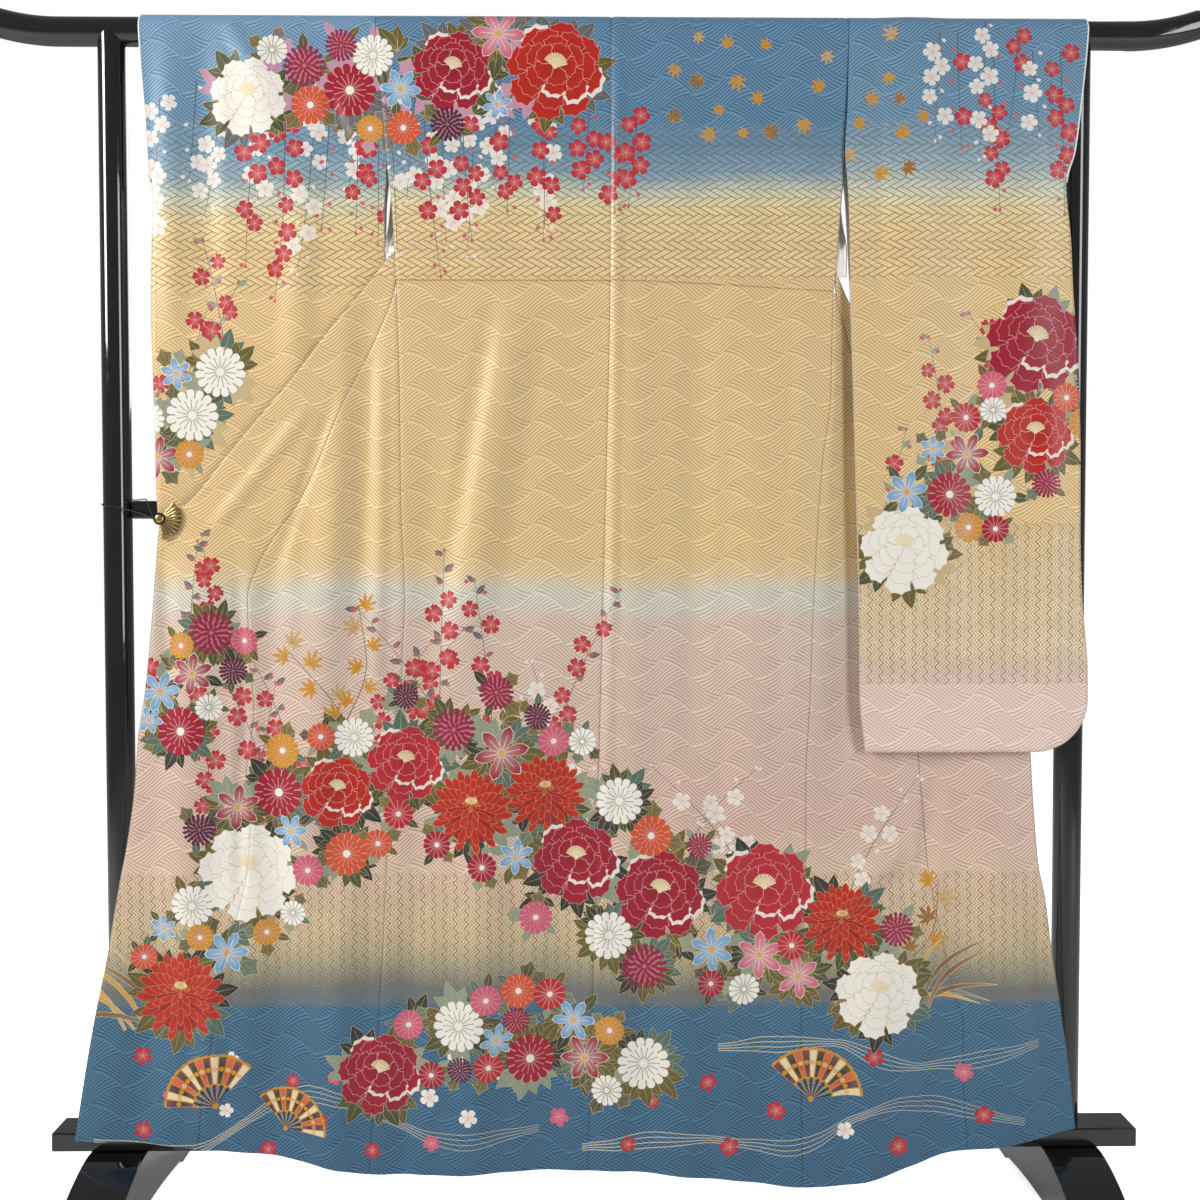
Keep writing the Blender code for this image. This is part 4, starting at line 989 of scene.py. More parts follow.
def frilled(wide, scallops=4):
    """A broad petal with a frilled outer edge."""
    edge = [(0.1, 0.0), (wide * 0.78, 0.34)]
    for k in range(2 * scallops + 1):
        turn = math.pi * k / (2 * scallops)
        part = 1.0 if k % 2 else 0.82
        edge.append((wide * math.cos(turn) * part, 0.62 + 0.38 * math.sin(turn) * part))
    return np.array(edge + [(-wide * 0.78, 0.34), (-0.1, 0.0)])


def stroke(start, end, width, colour, cover=1.0):
    """A straight fine line that thins towards its end."""
    start, end = np.asarray(start, float), np.asarray(end, float)
    along = end - start
    side = np.array((-along[1], along[0])) / max(1e-9, np.linalg.norm(along)) * width / 2
    edge = [start - side, start + side, end + side * 0.4, end - side * 0.4]
    painted.append(Paint(edge, colour, cover=cover, fine=True))


def outlined(shape, at, size, turn, middle, rim, line_colour, line=LINE, reach=1.0):
    """A shape with a fine line around it."""
    add(shape, at, size, turn, line_colour, fine=True)
    inner = (shape - shape.mean(0)) * max(0.2, 1 - 2.4 * line / (size * 0.5)) + shape.mean(0)
    add(inner, at, size, turn, middle, rim, 1.0, at, size * reach)


def plum(at, size, turn, colour, line=PALE_PINK, lobe=ROUND_LOBE, cover=1.0):
    """Five round petals with fine lines between them and a pale middle."""
    edge = [polar(math.radians(72 * k + way), far) for k in range(5) for way, far in lobe]
    add(edge, at, size, turn, mixed(colour, line, 0.4), colour, cover, at, size * 0.75)
    for k in range(5):
        low, high = moved([(0, 0.2), (0, 0.56)], at, size, turn + 72 * k + 36)
        stroke(low, high, size * 0.07, mixed(colour, line, 0.75), cover)
    add(disc(6), at, size * 0.13, 0.0, mixed(colour, line, 0.8), cover=cover)


def cherry(at, size, turn, colour, line=PALE_PINK, cover=1.0):
    plum(at, size, turn, colour, line, NOTCHED_LOBE, cover)


def bud(at, size, turn, colour, line):
    add(petal(0.42, 0.7, steps=4), at, size, turn, colour, mixed(colour, line, 0.4))


def ring_mum(at, size, turn, colour, line=PALE_PINK):
    """Petals edge to edge round a small white eye, in two rings if the flower is large."""
    rings = ((15, 1.0), (15, 0.66)) if size > 0.0235 else ((14, 1.0),)
    for count, reach in rings:
        turn += 12
        add(disc(count), at, size * reach * 0.93, turn, mixed(line, colour, 0.2))
        for k in range(count):
            add(ray(count, 0.2), at, size * reach, turn + 360 / count * k,
                mixed(colour, line, 0.25), colour, 1.0, at, size * reach * 0.6)
    add(disc(9), at, size * 0.17, 0.0, WHITE)


def pompon(at, size, turn, colour, line=PALE_PINK):
    """Ring within ring of small pointed petals."""
    add(disc(12), at, size * 0.72, 0.0, mixed(colour, line, 0.45))
    for reach, length, count in ((1.0, 0.34, 19), (0.78, 0.32, 16), (0.56, 0.3, 11), (0.34, 0.28, 7)):
        for k in range(count):
            way = turn + 360 / count * k + reach * 40
            foot = at + towards(way, size * (reach - length))
            add(petal(0.4, 0.5, steps=3), foot, size * length, way, colour)


# A flower's rings of petals: how far they reach, how long they are, how many, and how wide
FULL_MUM_RINGS = ((1.0, 0.44, 15), (0.86, 0.42, 14), (0.7, 0.4, 12), (0.54, 0.36, 10), (0.38, 0.3, 7),
                  (0.22, 0.22, 5))
PEONY_RINGS = ((1.0, 0.66, 8, 0.5), (0.82, 0.58, 7, 0.52), (0.62, 0.48, 6, 0.56), (0.44, 0.4, 5, 0.6))


def full_mum(at, size, turn, colour, line=PEACH):
    """Many rings of long petals that curl up round a yellow heart, each with a fine gold line."""
    add(disc(16), at, size * 0.76, turn, mixed(colour, DARK_RED, 0.5))
    turn = turn * 0.2
    for ring_number, (reach, length, count) in enumerate(FULL_MUM_RINGS):
        middle = at + (0.0, size * 0.24 * (1 - reach))
        shade = colour if ring_number < 5 else mixed(colour, MUSTARD, 0.5)
        for k in range(count):
            way = turn + 360 / count * (k + 0.5 * (ring_number % 2))
            foot = middle + towards(way, size * (reach - length))
            curl = 14 * math.sin(math.radians(way))
            deep, bright = mixed(shade, DARK_RED, 0.35), mixed(shade, ORANGE, 0.12)
            outlined(petal(0.26, 0.55, -0.06), foot, size * length, way - curl, deep, bright, line,
                     FLOWER_LINE)
    add(disc(8) * (1.4, 0.8), at + (0.0, size * 0.26), size * 0.11, 0.0, MUSTARD, CREAM)


def peony(at, size, turn, colour, line=PALE_PINK):
    """Broad frilled petals in layers round a tuft, some turned so that their pale backs show."""
    pale = colour is WHITE
    deep = mixed(colour, PALE_PINK, 0.12) if pale else mixed(colour, DARK_RED, 0.45)
    turn = turn * 0.3
    for layer, (reach, length, count, wide) in enumerate(PEONY_RINGS):
        middle = at + (0.0, size * 0.14 * layer / 3)
        for k in range(count):
            way = turn + 360 / count * (k + 0.4 * layer)
            foot = middle + towards(way, size * (reach - length))
            if k % 5 == 2 and layer < 3 and not pale:
                add(frilled(wide), foot, size * length * 1.04, way + 4, mixed(WHITE, colour, 0.12))
                foot = foot - towards(way + 30, size * 0.05)
            outlined(frilled(wide), foot, size * length, way, deep, colour, line, PETAL_LINE, 0.9)
    tuft = at + (0.0, size * 0.12)
    for k in range(11):
        tip = tuft + towards(turn + 14 * (k - 5), size * 0.24)
        stroke(tip, tuft - (0.0, size * 0.05), size * 0.045, mixed(CREAM, colour, 0.1))
    add(disc(7), tuft - (0.0, size * 0.02), size * 0.06, 0.0, CREAM)


def star_flower(at, size, turn, colour, line=WHITE):
    """Six pointed petals with a pale rib, round a small eye."""
    for k in range(6):
        way = turn + 60 * k
        outlined(petal(0.33, 0.35, -0.08), at, size, way, mixed(colour, line, 0.35), colour, line)
        stroke(at, at + towards(way, size * 0.72), size * 0.05, mixed(line, colour, 0.3))
    add(disc(10), at, size * 0.2, 0.0, MUSTARD, mixed(MUSTARD, line, 0.4))


def leaf(at, size, turn, colour, line=BEIGE):
    outlined(LEAF, at, size, turn, mixed(colour, line, 0.12), colour, line)
    stroke(at, at + towards(turn, size * 0.85), 0.0007, line)


def cut_leaf(at, size, turn, colour):
    """A leaf of five blades."""
    for way, long in ((-78, 0.6), (78, 0.6), (-40, 0.85), (40, 0.85), (0, 1.0)):
        leaf(at, size * long, turn + way, colour)


def lobed_leaf(at, size, turn, colour, line=BEIGE):
    """A broad leaf with round lobes."""
    edge = []
    for k in range(15):
        way = math.tau * (k / 15)
        far = 0.42 + 0.1 * math.cos(way * 5) + 0.03 * math.cos(way)
        edge.append((far * math.sin(way) * 0.95, 0.48 + far * math.cos(way) * 1.1))
    outlined(np.array(edge), at, size, turn, colour, mixed(colour, line, 0.25), line)
    root = at + towards(turn, size * 0.05)
    for way, long in ((0, 0.85), (-28, 0.65), (28, 0.65)):
        stroke(root, root + towards(turn + way, size * long), STROKE, line)


def maple_leaf(at, size, turn, colour, line=MUSTARD):
    """Five long lobes and two short ones, like an open hand."""
    edge = []
    ways = (-118, -72, -34, 0, 34, 72, 118)
    longs = (0.52, 0.78, 0.95, 1.05, 0.95, 0.78, 0.52)
    for number, (way, long) in enumerate(zip(ways, longs)):
        for aside, part in ((-11, 0.62), (-6, 0.8), (0, 1.0), (6, 0.8), (11, 0.62)):
            edge.append(polar(math.radians(way + aside), long * part))
        if number < 6:
            edge.append(polar(math.radians((way + ways[number + 1]) / 2), 0.34))
    edge.append((0.0, -0.1))
    outlined(np.array(edge), at, size, turn, mixed(colour, line, 0.3), colour, line)
    for way, long in zip(ways[1:-1], longs[1:-1]):
        stroke(at, at + towards(turn + way, size * long * 0.8), STROKE, mixed(line, BROWN, 0.4))
    stroke(at, at + towards(turn + 6, -size * 0.55), 0.0009, line)


def smooth_line(points, steps=8, closed=False):
    """A smooth line through given points."""
    points = [np.asarray(point, float) for point in points]
    if closed:
        points = points[-1:] + points + points[:2]
    else:
        points = [2 * points[0] - points[1]] + points + [2 * points[-1] - points[-2]]
    made = []
    for a, b, c, d in zip(points, points[1:], points[2:], points[3:]):
        for part in np.arange(steps) / steps:
            made.append(0.5 * (2 * b + (c - a) * part + (2 * a - 5 * b + 4 * c - d) * part ** 2
                               + (3 * b - a - 3 * c + d) * part ** 3))
    return np.array(made if closed else made + [points[-2]])


def left_of(line):
    """The way to the left at each point of a line."""
    along = np.gradient(line, axis=0)
    along /= np.maximum(np.linalg.norm(along, axis=1, keepdims=True), 1e-9)
    return columns(-along[:, 1], along[:, 0])


def ribbon(line, width, colour, taper=1.0, cover=1.0):
    """A painted line of even width, or one that tapers to a share of it."""
    half = left_of(line) * (width / 2 * np.linspace(1.0, taper, len(line)))[:, None]
    left, right = line + half, line - half
    for k in range(0, len(line) - 1, 3):
        end = min(k + 4, len(line))
        painted.append(Paint(np.vstack([left[k:end], right[k:end][::-1]]), colour, cover=cover))


def at_part(line, parts, part):
    """The place on a line where its measure reaches a part."""
    return np.array([np.interp(part, parts, line[:, axis]) for axis in (0, 1)])


chance = random.Random(11)
vary, pick = chance.uniform, chance.choice


def twig(points, draw, size, gap, colours):
    """A bent twig with leaves on alternate sides."""
    way = smooth_line(points)
    ribbon(way, 0.0016, BROWN, taper=0.5)
    reach = np.concatenate([[0.0], np.cumsum(np.linalg.norm(np.diff(way, axis=0), axis=1))])
    for k, far in enumerate(np.arange(gap, reach[-1] + gap / 2, gap)):
        at = at_part(way, reach, far)
        run = at - at_part(way, reach, far - 0.01)
        turn = math.degrees(math.atan2(run[0], run[1])) + (1 if k % 2 else -1) * vary(30, 70)
        draw(at + towards(turn, size * 0.6), size * vary(0.85, 1.15), turn, pick(colours))


def grass(at, length, turn, bend, colour, line=CREAM, width=0.0065):
    """A long blade that arches over."""
    parts = np.linspace(0, 1, 7)
    arch = columns(bend * parts ** 2, parts * (1 - 0.25 * abs(bend) * parts))
    middle = moved(arch, at, length, turn)
    half = (width / 2 * np.sin(math.pi * (0.12 + 0.88 * parts)) ** 0.7)[:, None]
    for wide, *looks in ((half + LINE, line), (half, colour, mixed(colour, line, 0.3))):
        aside = left_of(middle) * wide
        painted.append(Paint(np.vstack([middle + aside, (middle - aside)[::-1]]), *looks))


def folding_fan(at, size, turn):
    """An open fan with a painted leaf of folds, bare ribs below it and a pin."""
    turns = np.radians(np.linspace(-68, 68, 15))
    for k, (a, b) in enumerate(zip(turns, turns[1:])):
        middle = (a + b) / 2
        fold = [polar(a, 0.4), polar(a, 1.0), polar(middle, 1.02), polar(b, 1.0), polar(b, 0.4)]
        add(fold, at, size, turn, MUSTARD)
        inner = [polar(a + 0.02, 0.44), polar(a + 0.012, 0.96), polar(b - 0.012, 0.96), polar(b - 0.02, 0.44)]
        shade = (PURPLE, CREAM, BLACK, ORANGE)[k % 4]
        add(inner, at, size, turn, shade, mixed(shade, CREAM, 0.12))
        spot = disc(8) * 0.05 + polar(middle, 0.72)
        add(spot, at, size, turn, mixed(MUSTARD, CREAM, 0.5 * (k % 2)))
        rib = [(0.0, 0.0), polar(a, 0.42), polar(a + 0.08, 0.42)]
        add(rib, at, size, turn, BLACK if k % 2 else MUSTARD)
    add(disc(10), at, size * 0.06, 0.0, MUSTARD)


def spray(at, length, turn, bend, flower=plum, colour=RED, size=0.013, leaf_colour=None, gap=0.02,
          cover=1.0):
    """A stem with blossoms and buds, or leaves, on alternate sides."""
    parts = np.linspace(0, 1, max(4, int(length / 0.02)))
    way = moved(columns(bend * parts ** 2, parts), at, length, turn)
    ribbon(way, 0.0015, SLATE, taper=0.4)
    count = max(2, int(length / gap))
    for k in range(count + 1):
        part = (k + vary(0.1, 0.7)) / (count + 0.5)
        spot = at_part(way, parts, part)
        side = 1 if k % 2 else -1
        off = moved([(side * size * vary(0.3, 1.1), 0)], (0, 0), 1.0, turn)[0]
        if leaf_colour is not None:
            leaf(spot, size * vary(1.0, 1.5), turn + side * vary(40, 75), leaf_colour,
                 mixed(leaf_colour, CREAM, 0.5))
        roll = chance.random()
        if roll < 0.62 and part < 0.88:
            flower(spot + off, size * vary(0.85, 1.1), vary(0, 72), colour, cover=cover)
        elif roll < 0.95:
            bud(spot + off * 0.6, size * 0.55, turn + side * 50, colour, PALE_PINK)
    bud(way[-1], size * 0.45, turn, colour, PALE_PINK)


# What a drift is made of: drawing and colour, taken in turn
LARGE_KINDS = ((full_mum, VERMILION), (peony, CRIMSON), (peony, VERMILION), (peony, WHITE),
               (full_mum, VERMILION), (peony, RED))
MIDDLE_KINDS = ((ring_mum, WHITE), (star_flower, CRIMSON), (ring_mum, CRIMSON), (star_flower, BLUE),
                (pompon, MAGENTA), (ring_mum, ORANGE), (star_flower, PINK), (ring_mum, WHITE))
SMALL_KINDS = ((ring_mum, CRIMSON), (pompon, MAGENTA), (ring_mum, ORANGE), (star_flower, BLUE),
               (ring_mum, WHITE), (ring_mum, MUSTARD), (pompon, PURPLE), (ring_mum, PINK), (ring_mum, RED))
DEEP_LEAVES = (DARK_GREEN, GREEN, OLIVE, TEAL, OLIVE, GREY_GREEN)
PALE_LEAVES = (GREY_GREEN, TEAL, GREEN, OLIVE, BEIGE, OLIVE)
MAPLE_COLOURS = (GOLD, MUSTARD, BROWN, BEIGE, GOLD)


def leafy(at, size, greens):
    """Leaves that show round a flower."""
    large = size > 0.03
    count = 7 if large else 4
    for k in range(count):
        turn = 360 / count * (k + vary(-0.35, 0.35)) + 30
        draw = cut_leaf if large else pick((lobed_leaf, leaf))
        draw(at + towards(turn, size * 0.6), min(0.046, size * vary(0.95, 1.25)),
             turn + vary(-20, 20), pick(greens))


def drift(points, half, counts, leaves, greens):
    """A drift of flowers: the largest near a line, smaller ones farther from it, over their leaves."""
    way = smooth_line(points, 12)
    aside = left_of(way)

    def near_line(share):
        k = chance.randrange(1, len(way) - 1)
        wide = half * share * math.sin(math.pi * k / len(way)) ** 0.4
        return way[k] + aside[k] * vary(-1, 1) * wide

    placed = []
    for count, kinds, low, high, share in ((counts[0], LARGE_KINDS, 0.05, 0.071, 0.6),
                                           (counts[1], MIDDLE_KINDS, 0.027, 0.037, 1.05),
                                           (counts[2], SMALL_KINDS, 0.018, 0.025, 1.4)):
        made, first = 0, chance.randrange(len(kinds))
        for _ in range(900):
            spot, size = near_line(share), vary(low, high)
            free = all(np.linalg.norm(spot - at) > 0.88 * (size + other) for _, _, at, other in placed)
            if made < count and free:
                placed.append(kinds[(first + made) % len(kinds)] + (spot, size))
                made += 1
    for _ in range(leaves):
        draw = pick((cut_leaf, cut_leaf, lobed_leaf))
        draw(near_line(1.15), vary(0.03, 0.044), vary(0, 360), pick(greens))
    for _, _, at, size in placed:
        leafy(at, size, greens)
    for draw, colour, at, size in placed:
        looks = {}
        if colour is WHITE and draw is not star_flower:
            looks["line"] = OLIVE if draw is ring_mum else BEIGE
        draw(at, size, vary(0, 60), colour, **looks)


def curtain(low, high, apart, top, lengths, **looks):
    """Sprays that hang side by side, uneven in length and place."""
    x = low
    while x < high:
        at = np.array((x, top + vary(-0.035, 0.015)))
        spray(at, vary(*lengths), 180 + vary(-4, 7), vary(-0.05, 0.1), **looks)
        x += apart * vary(0.6, 1.4)


def rising(points, count, lengths, lean, **looks):
    """Sprays that grow up from a line and lean aside."""
    way = smooth_line(points, 12)
    for k in range(count):
        at = way[int((k + vary(0.2, 0.8)) / count * (len(way) - 1))]
        turn = vary(-lean, lean)
        spray(at, vary(*lengths), turn, turn / lean * 0.35, **looks)


def strewn(draw, low, high, count, apart, size, colours):
    """One motif strewn over an area, no two closer than apart."""
    places = []
    for _ in range(count * 30):
        spot = np.array((vary(low[0], high[0]), vary(low[1], high[1])))
        if len(places) < count and all(np.linalg.norm(spot - other) > apart for other in places):
            places.append(spot)
            draw(spot, size * vary(0.8, 1.15), vary(0, 360), pick(colours))


def stream(points, lines=4):
    """Flowing water: fine pale lines that run together and apart."""
    way = smooth_line(points)
    spread = np.sin(np.linspace(0, 3 * math.pi, len(way))) ** 2 * 0.6 + 0.4
    for k in range(lines):
        shift = columns(np.zeros(len(way)), (k - lines / 2) * 0.0075 * spread)
        ribbon(way + shift, 0.0013, CREAM, taper=0.5, cover=0.75)


def on_far_side(paints, way, shift):
    """The same paint on the far face without its fine lines: x times way, then shifted."""
    turned = []
    for paint in paints:
        if not paint.fine:
            edge = columns(paint.edge[:, 0] * way + shift, DOUBLE - paint.edge[:, 1])
            centre = np.array((paint.centre[0] * way + shift, DOUBLE - paint.centre[1]))
            turned.append(Paint(edge, paint.middle, paint.rim, paint.cover, centre, paint.reach))
    return turned


# Over the shoulders: hanging sprays, loose maple leaves and a drift on the left
SHOULDER_DRIFT = ((-0.5, 1.54), (-0.4, 1.59), (-0.27, 1.575), (-0.13, 1.61), (-0.05, 1.6))
shoulder_paints = painted = []
strewn(maple_leaf, (0.09, 1.5), (0.32, 1.66), 15, 0.036, 0.0165, MAPLE_COLOURS)
strewn(maple_leaf, (0.345, 1.44), (0.48, 1.65), 11, 0.036, 0.0165, MAPLE_COLOURS)
for low, high, apart, top, lengths, pale, gap in (
        (-0.6, -0.06, 0.052, 1.59, (0.13, 0.27), True, 0.017),
        (-0.47, 0.06, 0.047, 1.56, (0.1, 0.25), False, 0.018),
        (0.5, 0.65, 0.045, 1.66, (0.12, 0.28), False, 0.018),
        (0.475, 0.64, 0.055, 1.665, (0.1, 0.2), True, 0.018)):
    looks = {"colour": WHITE, "size": 0.0125, "cover": 0.85} if pale else {"size": 0.013}
    curtain(low, high, apart, top, lengths, gap=gap, **looks)
lower_count = len(shoulder_paints)
drift(SHOULDER_DRIFT, 0.045, (3, 6, 11), 16, (OLIVE, SLATE, LILAC, GREEN))

# Over the skirt: one high arch of flowers, two small drifts, fans and flowing water
ARCH = ((-0.62, 0.27), (-0.54, 0.43), (-0.4, 0.57), (-0.22, 0.64), (-0.06, 0.56), (0.08, 0.44),
        (0.24, 0.42), (0.35, 0.37), (0.44, 0.29))
LOW_DRIFT = ((-0.33, 0.205), (-0.19, 0.265), (-0.04, 0.255), (0.07, 0.19))
EDGE_DRIFT = ((-0.61, 0.66), (-0.575, 0.745), (-0.5, 0.835))
TWIGS = (((-0.33, 0.62), (-0.36, 0.72), (-0.43, 0.8)),
         ((-0.352, 0.69), (-0.32, 0.77), (-0.33, 0.86)),
         ((0.42, 0.35), (0.47, 0.4), (0.48, 0.48)))
STREAMS = (((-0.7, 0.115), (-0.56, 0.105), (-0.4, 0.185), (-0.23, 0.12), (-0.08, 0.13)),
           ((-0.02, 0.105), (0.12, 0.12), (0.28, 0.105), (0.42, 0.165), (0.6, 0.14)),
           ((0.17, 0.245), (0.33, 0.25), (0.46, 0.215), (0.62, 0.25)))
FANS = ((-0.53, 0.165, 0.072, -25), (-0.435, 0.13, 0.058, 30), (0.3, 0.17, 0.072, 18))
body_paints = painted = []
rising(ARCH[1:5], 10, (0.22, 0.36), 28, flower=cherry, size=0.0135, leaf_colour=SLATE)
rising(ARCH[4:8], 7, (0.18, 0.28), 26, colour=WHITE, size=0.0125, gap=0.02, cover=0.8)
rising(EDGE_DRIFT, 4, (0.13, 0.2), 30, flower=cherry, size=0.0135, leaf_colour=SLATE)
for points in TWIGS:
    twig(points, maple_leaf, 0.0195, 0.028, MAPLE_COLOURS)
for end, lean in ((ARCH[0], -1), (ARCH[-1], 1)):
    for k in range(6):
        foot = np.array(end) + (0.012 * (k - 3), 0.0)
        grass(foot, vary(0.11, 0.17), lean * vary(5, 60), lean * vary(0.3, 0.7), pick((BROWN, GOLD, SLATE)))
for points in STREAMS:
    stream(points)
strewn(plum, (-0.64, 0.1), (0.56, 0.24), 30, 0.06, 0.0125, (RED, WHITE, RED, PINK))
for x, s, size, turn in FANS:
    folding_fan(np.array((x, s)), size, turn)
drift(EDGE_DRIFT, 0.035, (0, 4, 8), 8, DEEP_LEAVES)
drift(LOW_DRIFT, 0.04, (1, 5, 11), 14, DEEP_LEAVES)
drift(ARCH, 0.085, (11, 15, 26), 60, DEEP_LEAVES)

# On the sleeves: a drift across the right one, and a small one with sprays on the left
SLEEVE_DRIFT = ((0.39, 0.89), (0.46, 0.99), (0.56, 1.06), (0.62, 1.16), (0.63, 1.29))
SMALL_DRIFT = ((-0.605, 1.05), (-0.575, 1.135), (-0.49, 1.205))
right_sleeve_paints = painted = []
rising(SLEEVE_DRIFT[:4], 5, (0.15, 0.24), 22, flower=cherry, size=0.013, leaf_colour=GREY_GREEN)
drift(SLEEVE_DRIFT, 0.055, (3, 6, 11), 22, PALE_LEAVES)
left_sleeve_paints = painted = []
rising(SMALL_DRIFT, 5, (0.13, 0.18), 28, flower=cherry, size=0.0135, leaf_colour=GREY_GREEN)
drift(SMALL_DRIFT, 0.032, (0, 4, 7), 8, PALE_LEAVES)


# The body of the kimono
# Two backs, joined down the middle and each with a tuck sewn across at the waist, then the
# fronts beside them and the narrow okumi lengths that end at the open edges.
def band_table(rows):
    """A function from heights to dye colours, from rows of height and seen colour."""
    heights, *parts = np.array([(row[0], *dyestuff(*row[1:])) for row in sorted(rows)]).T

    def read(s):
        return columns(*(np.interp(s, heights, part) for part in parts))
    return read


BODY_BANDS = band_table((
    (1.7, 104, 142, 174), (1.5, 100, 140, 168), (1.462, 128, 160, 178), (1.438, 196, 200, 184),
    (1.415, 226, 208, 160), (1.38, 229, 200, 152), (0.935, 229, 200, 149), (0.905, 227, 204, 164),
    (0.882, 218, 214, 196), (0.862, 217, 210, 198), (0.838, 221, 200, 184), (0.56, 219, 190, 176),
    (0.47, 226, 202, 178), (0.4, 218, 200, 164), (0.36, 174, 172, 148), (0.328, 102, 122, 124),
    (0.295, 76, 120, 148), (0.05, 68, 112, 142)))


def height_seen(s):
    """The height of a flat place on whichever side of the bar it hangs."""
    return np.where(s > RIDGE, DOUBLE - s, s)


def body_dye(x, s):
    wander = 0.004 * np.sin(x * 9.0 + 1.0) + 0.003 * np.sin(x * 23.0)
    return BODY_BANDS(height_seen(s) + wander)


def gilded(lattice, zigzag):
    """How strongly the lattice and the zigzags are printed at each place."""
    return columns(lattice, zigzag, np.zeros_like(lattice))


def body_gilt(x, s):
    height = height_seen(s)
    lattice = ease((height - 1.3135) / 0.004) * (1 - ease((height - 1.47) / 0.09))
    return gilded(lattice, ease((0.5 - height) / 0.03) * ease((height - 0.285) / 0.05))


EDGE_STEP = 0.007
SEAM_DIP, SEAM_REACH, SEAM_SHADE_WIDTH, TURNED_UNDER = 0.0007, 0.0045, 0.0012, 0.0008
TUCK_REACH, TUCK_LIFT = 0.006, 0.0011


def beside(edge, shift):
    return lambda at: edge(at) + shift


def level(height):
    return lambda x: height


def outline_between(left, right, bottom, top):
    """The outline of a panel, from its two edges and the levels of its ends at each x."""
    def meet(edge, level):
        s = 1.0
        for _ in range(12):
            s = float(level(float(edge(s))))
        return s

    def up(edge):
        low, high = meet(edge, bottom), meet(edge, top)
        heights = np.linspace(low, high, max(2, int((high - low) / EDGE_STEP)))
        return columns(edge(heights), heights)

    left_side, right_side = up(left), up(right)
    ends = []
    for start, end, level in ((left_side[0], right_side[0], bottom), (right_side[-1], left_side[-1], top)):
        xs = np.linspace(start[0], end[0], max(2, int(abs(end[0] - start[0]) / EDGE_STEP)))[1:-1]
        ends.append(np.array([(x, float(level(x))) for x in xs]).reshape(-1, 2))
    return np.vstack([left_side[:1], ends[0], right_side, ends[1], left_side[1:][::-1]])


def edge_guides(left, right, bottom, top):
    """Lines along both sides of a panel, so that its edges can turn in softly."""
    heights = np.linspace(bottom, top, int((top - bottom) / EDGE_STEP))
    return [columns(edge(heights) + side * offset, heights)
            for offset in (0.0, 0.0012, 0.0026, SEAM_REACH) for edge, side in ((left, 1), (right, -1))]


def turned_in(hang, left, right):
    """The same drape with the cloth turned in along both sides of the panel."""
    def place(x, s):
        points = hang(x, s)
        aside = np.minimum(x - left(s), right(s) - x)
        depth = SEAM_DIP * (1 - ease(aside / SEAM_REACH)) + np.maximum(0.0, -aside) * 1.6
        turn = np.clip((s - BAR_AXIS) / OVER_BAR, 0.0, math.pi)
        points[:, 1] += depth * np.cos(turn)
        points[:, 2] -= depth * np.sin(turn)
        return points
    return place


def seam_shade(cloth_colour, left, right):
    """The same dye with painted shade: a thin dark line along both sides of the panel, where shade falls as
    the cloth turns in at its seams and edges.
    """
    def shaded(x, s):
        aside = np.abs(np.minimum(x - left(s), right(s) - x))
        return cloth_colour(x, s) * (1 - 0.5 * (1 - np.clip(aside / SEAM_SHADE_WIDTH, 0.0, 1.0)))[:, None]
    return shaded


def tucked(hang, side):
    """The same drape with a fold at the waist: the upper part ends in front of the lower part."""
    def place(x, s):
        points = hang(x, s)
        points[:, 1] -= side * TUCK_LIFT * (1 - ease(np.abs(s - WAIST_TUCK(x)) / TUCK_REACH))
        return points
    return place


def tuck_guides(side):
    xs = np.linspace(-0.3, 0.36, 95)
    return [columns(xs, WAIST_TUCK(xs) + side * away)
            for away in (0.0012, 0.0025, 0.004, TUCK_REACH)]


def hang_panel(name, left, right, bottom, top, place, paints=(), tuck=0):
    """A panel between two seams; tuck is 1 if it ends over the tuck at the waist, and -1 under it."""
    outline = outline_between(beside(left, -TURNED_UNDER), beside(right, TURNED_UNDER), bottom, top)
    low, high = box_of(outline)
    guides = edge_guides(left, right, low[1] - 0.01, high[1] + 0.01)
    if tuck:
        place = tucked(place, tuck)
        guides += tuck_guides(tuck)
    # Painted shade: the panel's colour is darkened in a thin line along both its sides.
    cloth_colour = seam_shade(body_dye, left, right)
    return lay_cloth(name, outline, turned_in(place, left, right), cloth_colour, body_gilt, paints, guides)


body_drape = hung(back_near, folds=BODY_FOLDS)
over_tuck, under_tuck = beside(WAIST_TUCK, -0.0012), beside(WAIST_TUCK, -0.0001)
for side, left, right in (("left", SIDE_LEFT, CENTRE_BACK), ("right", CENTRE_BACK, SIDE_RIGHT)):
    upper = hang_panel("kimono_back_" + side + "_upper", left, right, over_tuck, level(RIDGE - SEAM_GAP / 2),
                       body_drape, shoulder_paints, tuck=1)
    settle(upper, "silk", "back_" + side + "_upper")
    lower = hang_panel("kimono_back_" + side, left, right, HEM, under_tuck, body_drape,
                       shoulder_paints[:lower_count] + body_paints, tuck=-1)
    settle(lower, "silk", "back_" + side)


def right_front_near(x, z):
    """The right front leaves the side seam and passes behind its sleeve."""
    seam = SIDE_RIGHT(z)
    away = ease((x - seam) / (SLEEVE_RIGHT_INNER(z) - seam - 0.003))
    at_seam = BACK_DEPTH(z) - lifted(BODY_FOLDS, x, z)
    behind = BEHIND_SLEEVE_DEPTH(z) - lifted(RIGHT_FRONT_FOLDS, x, z)
    return at_seam * (1 - away) + behind * away


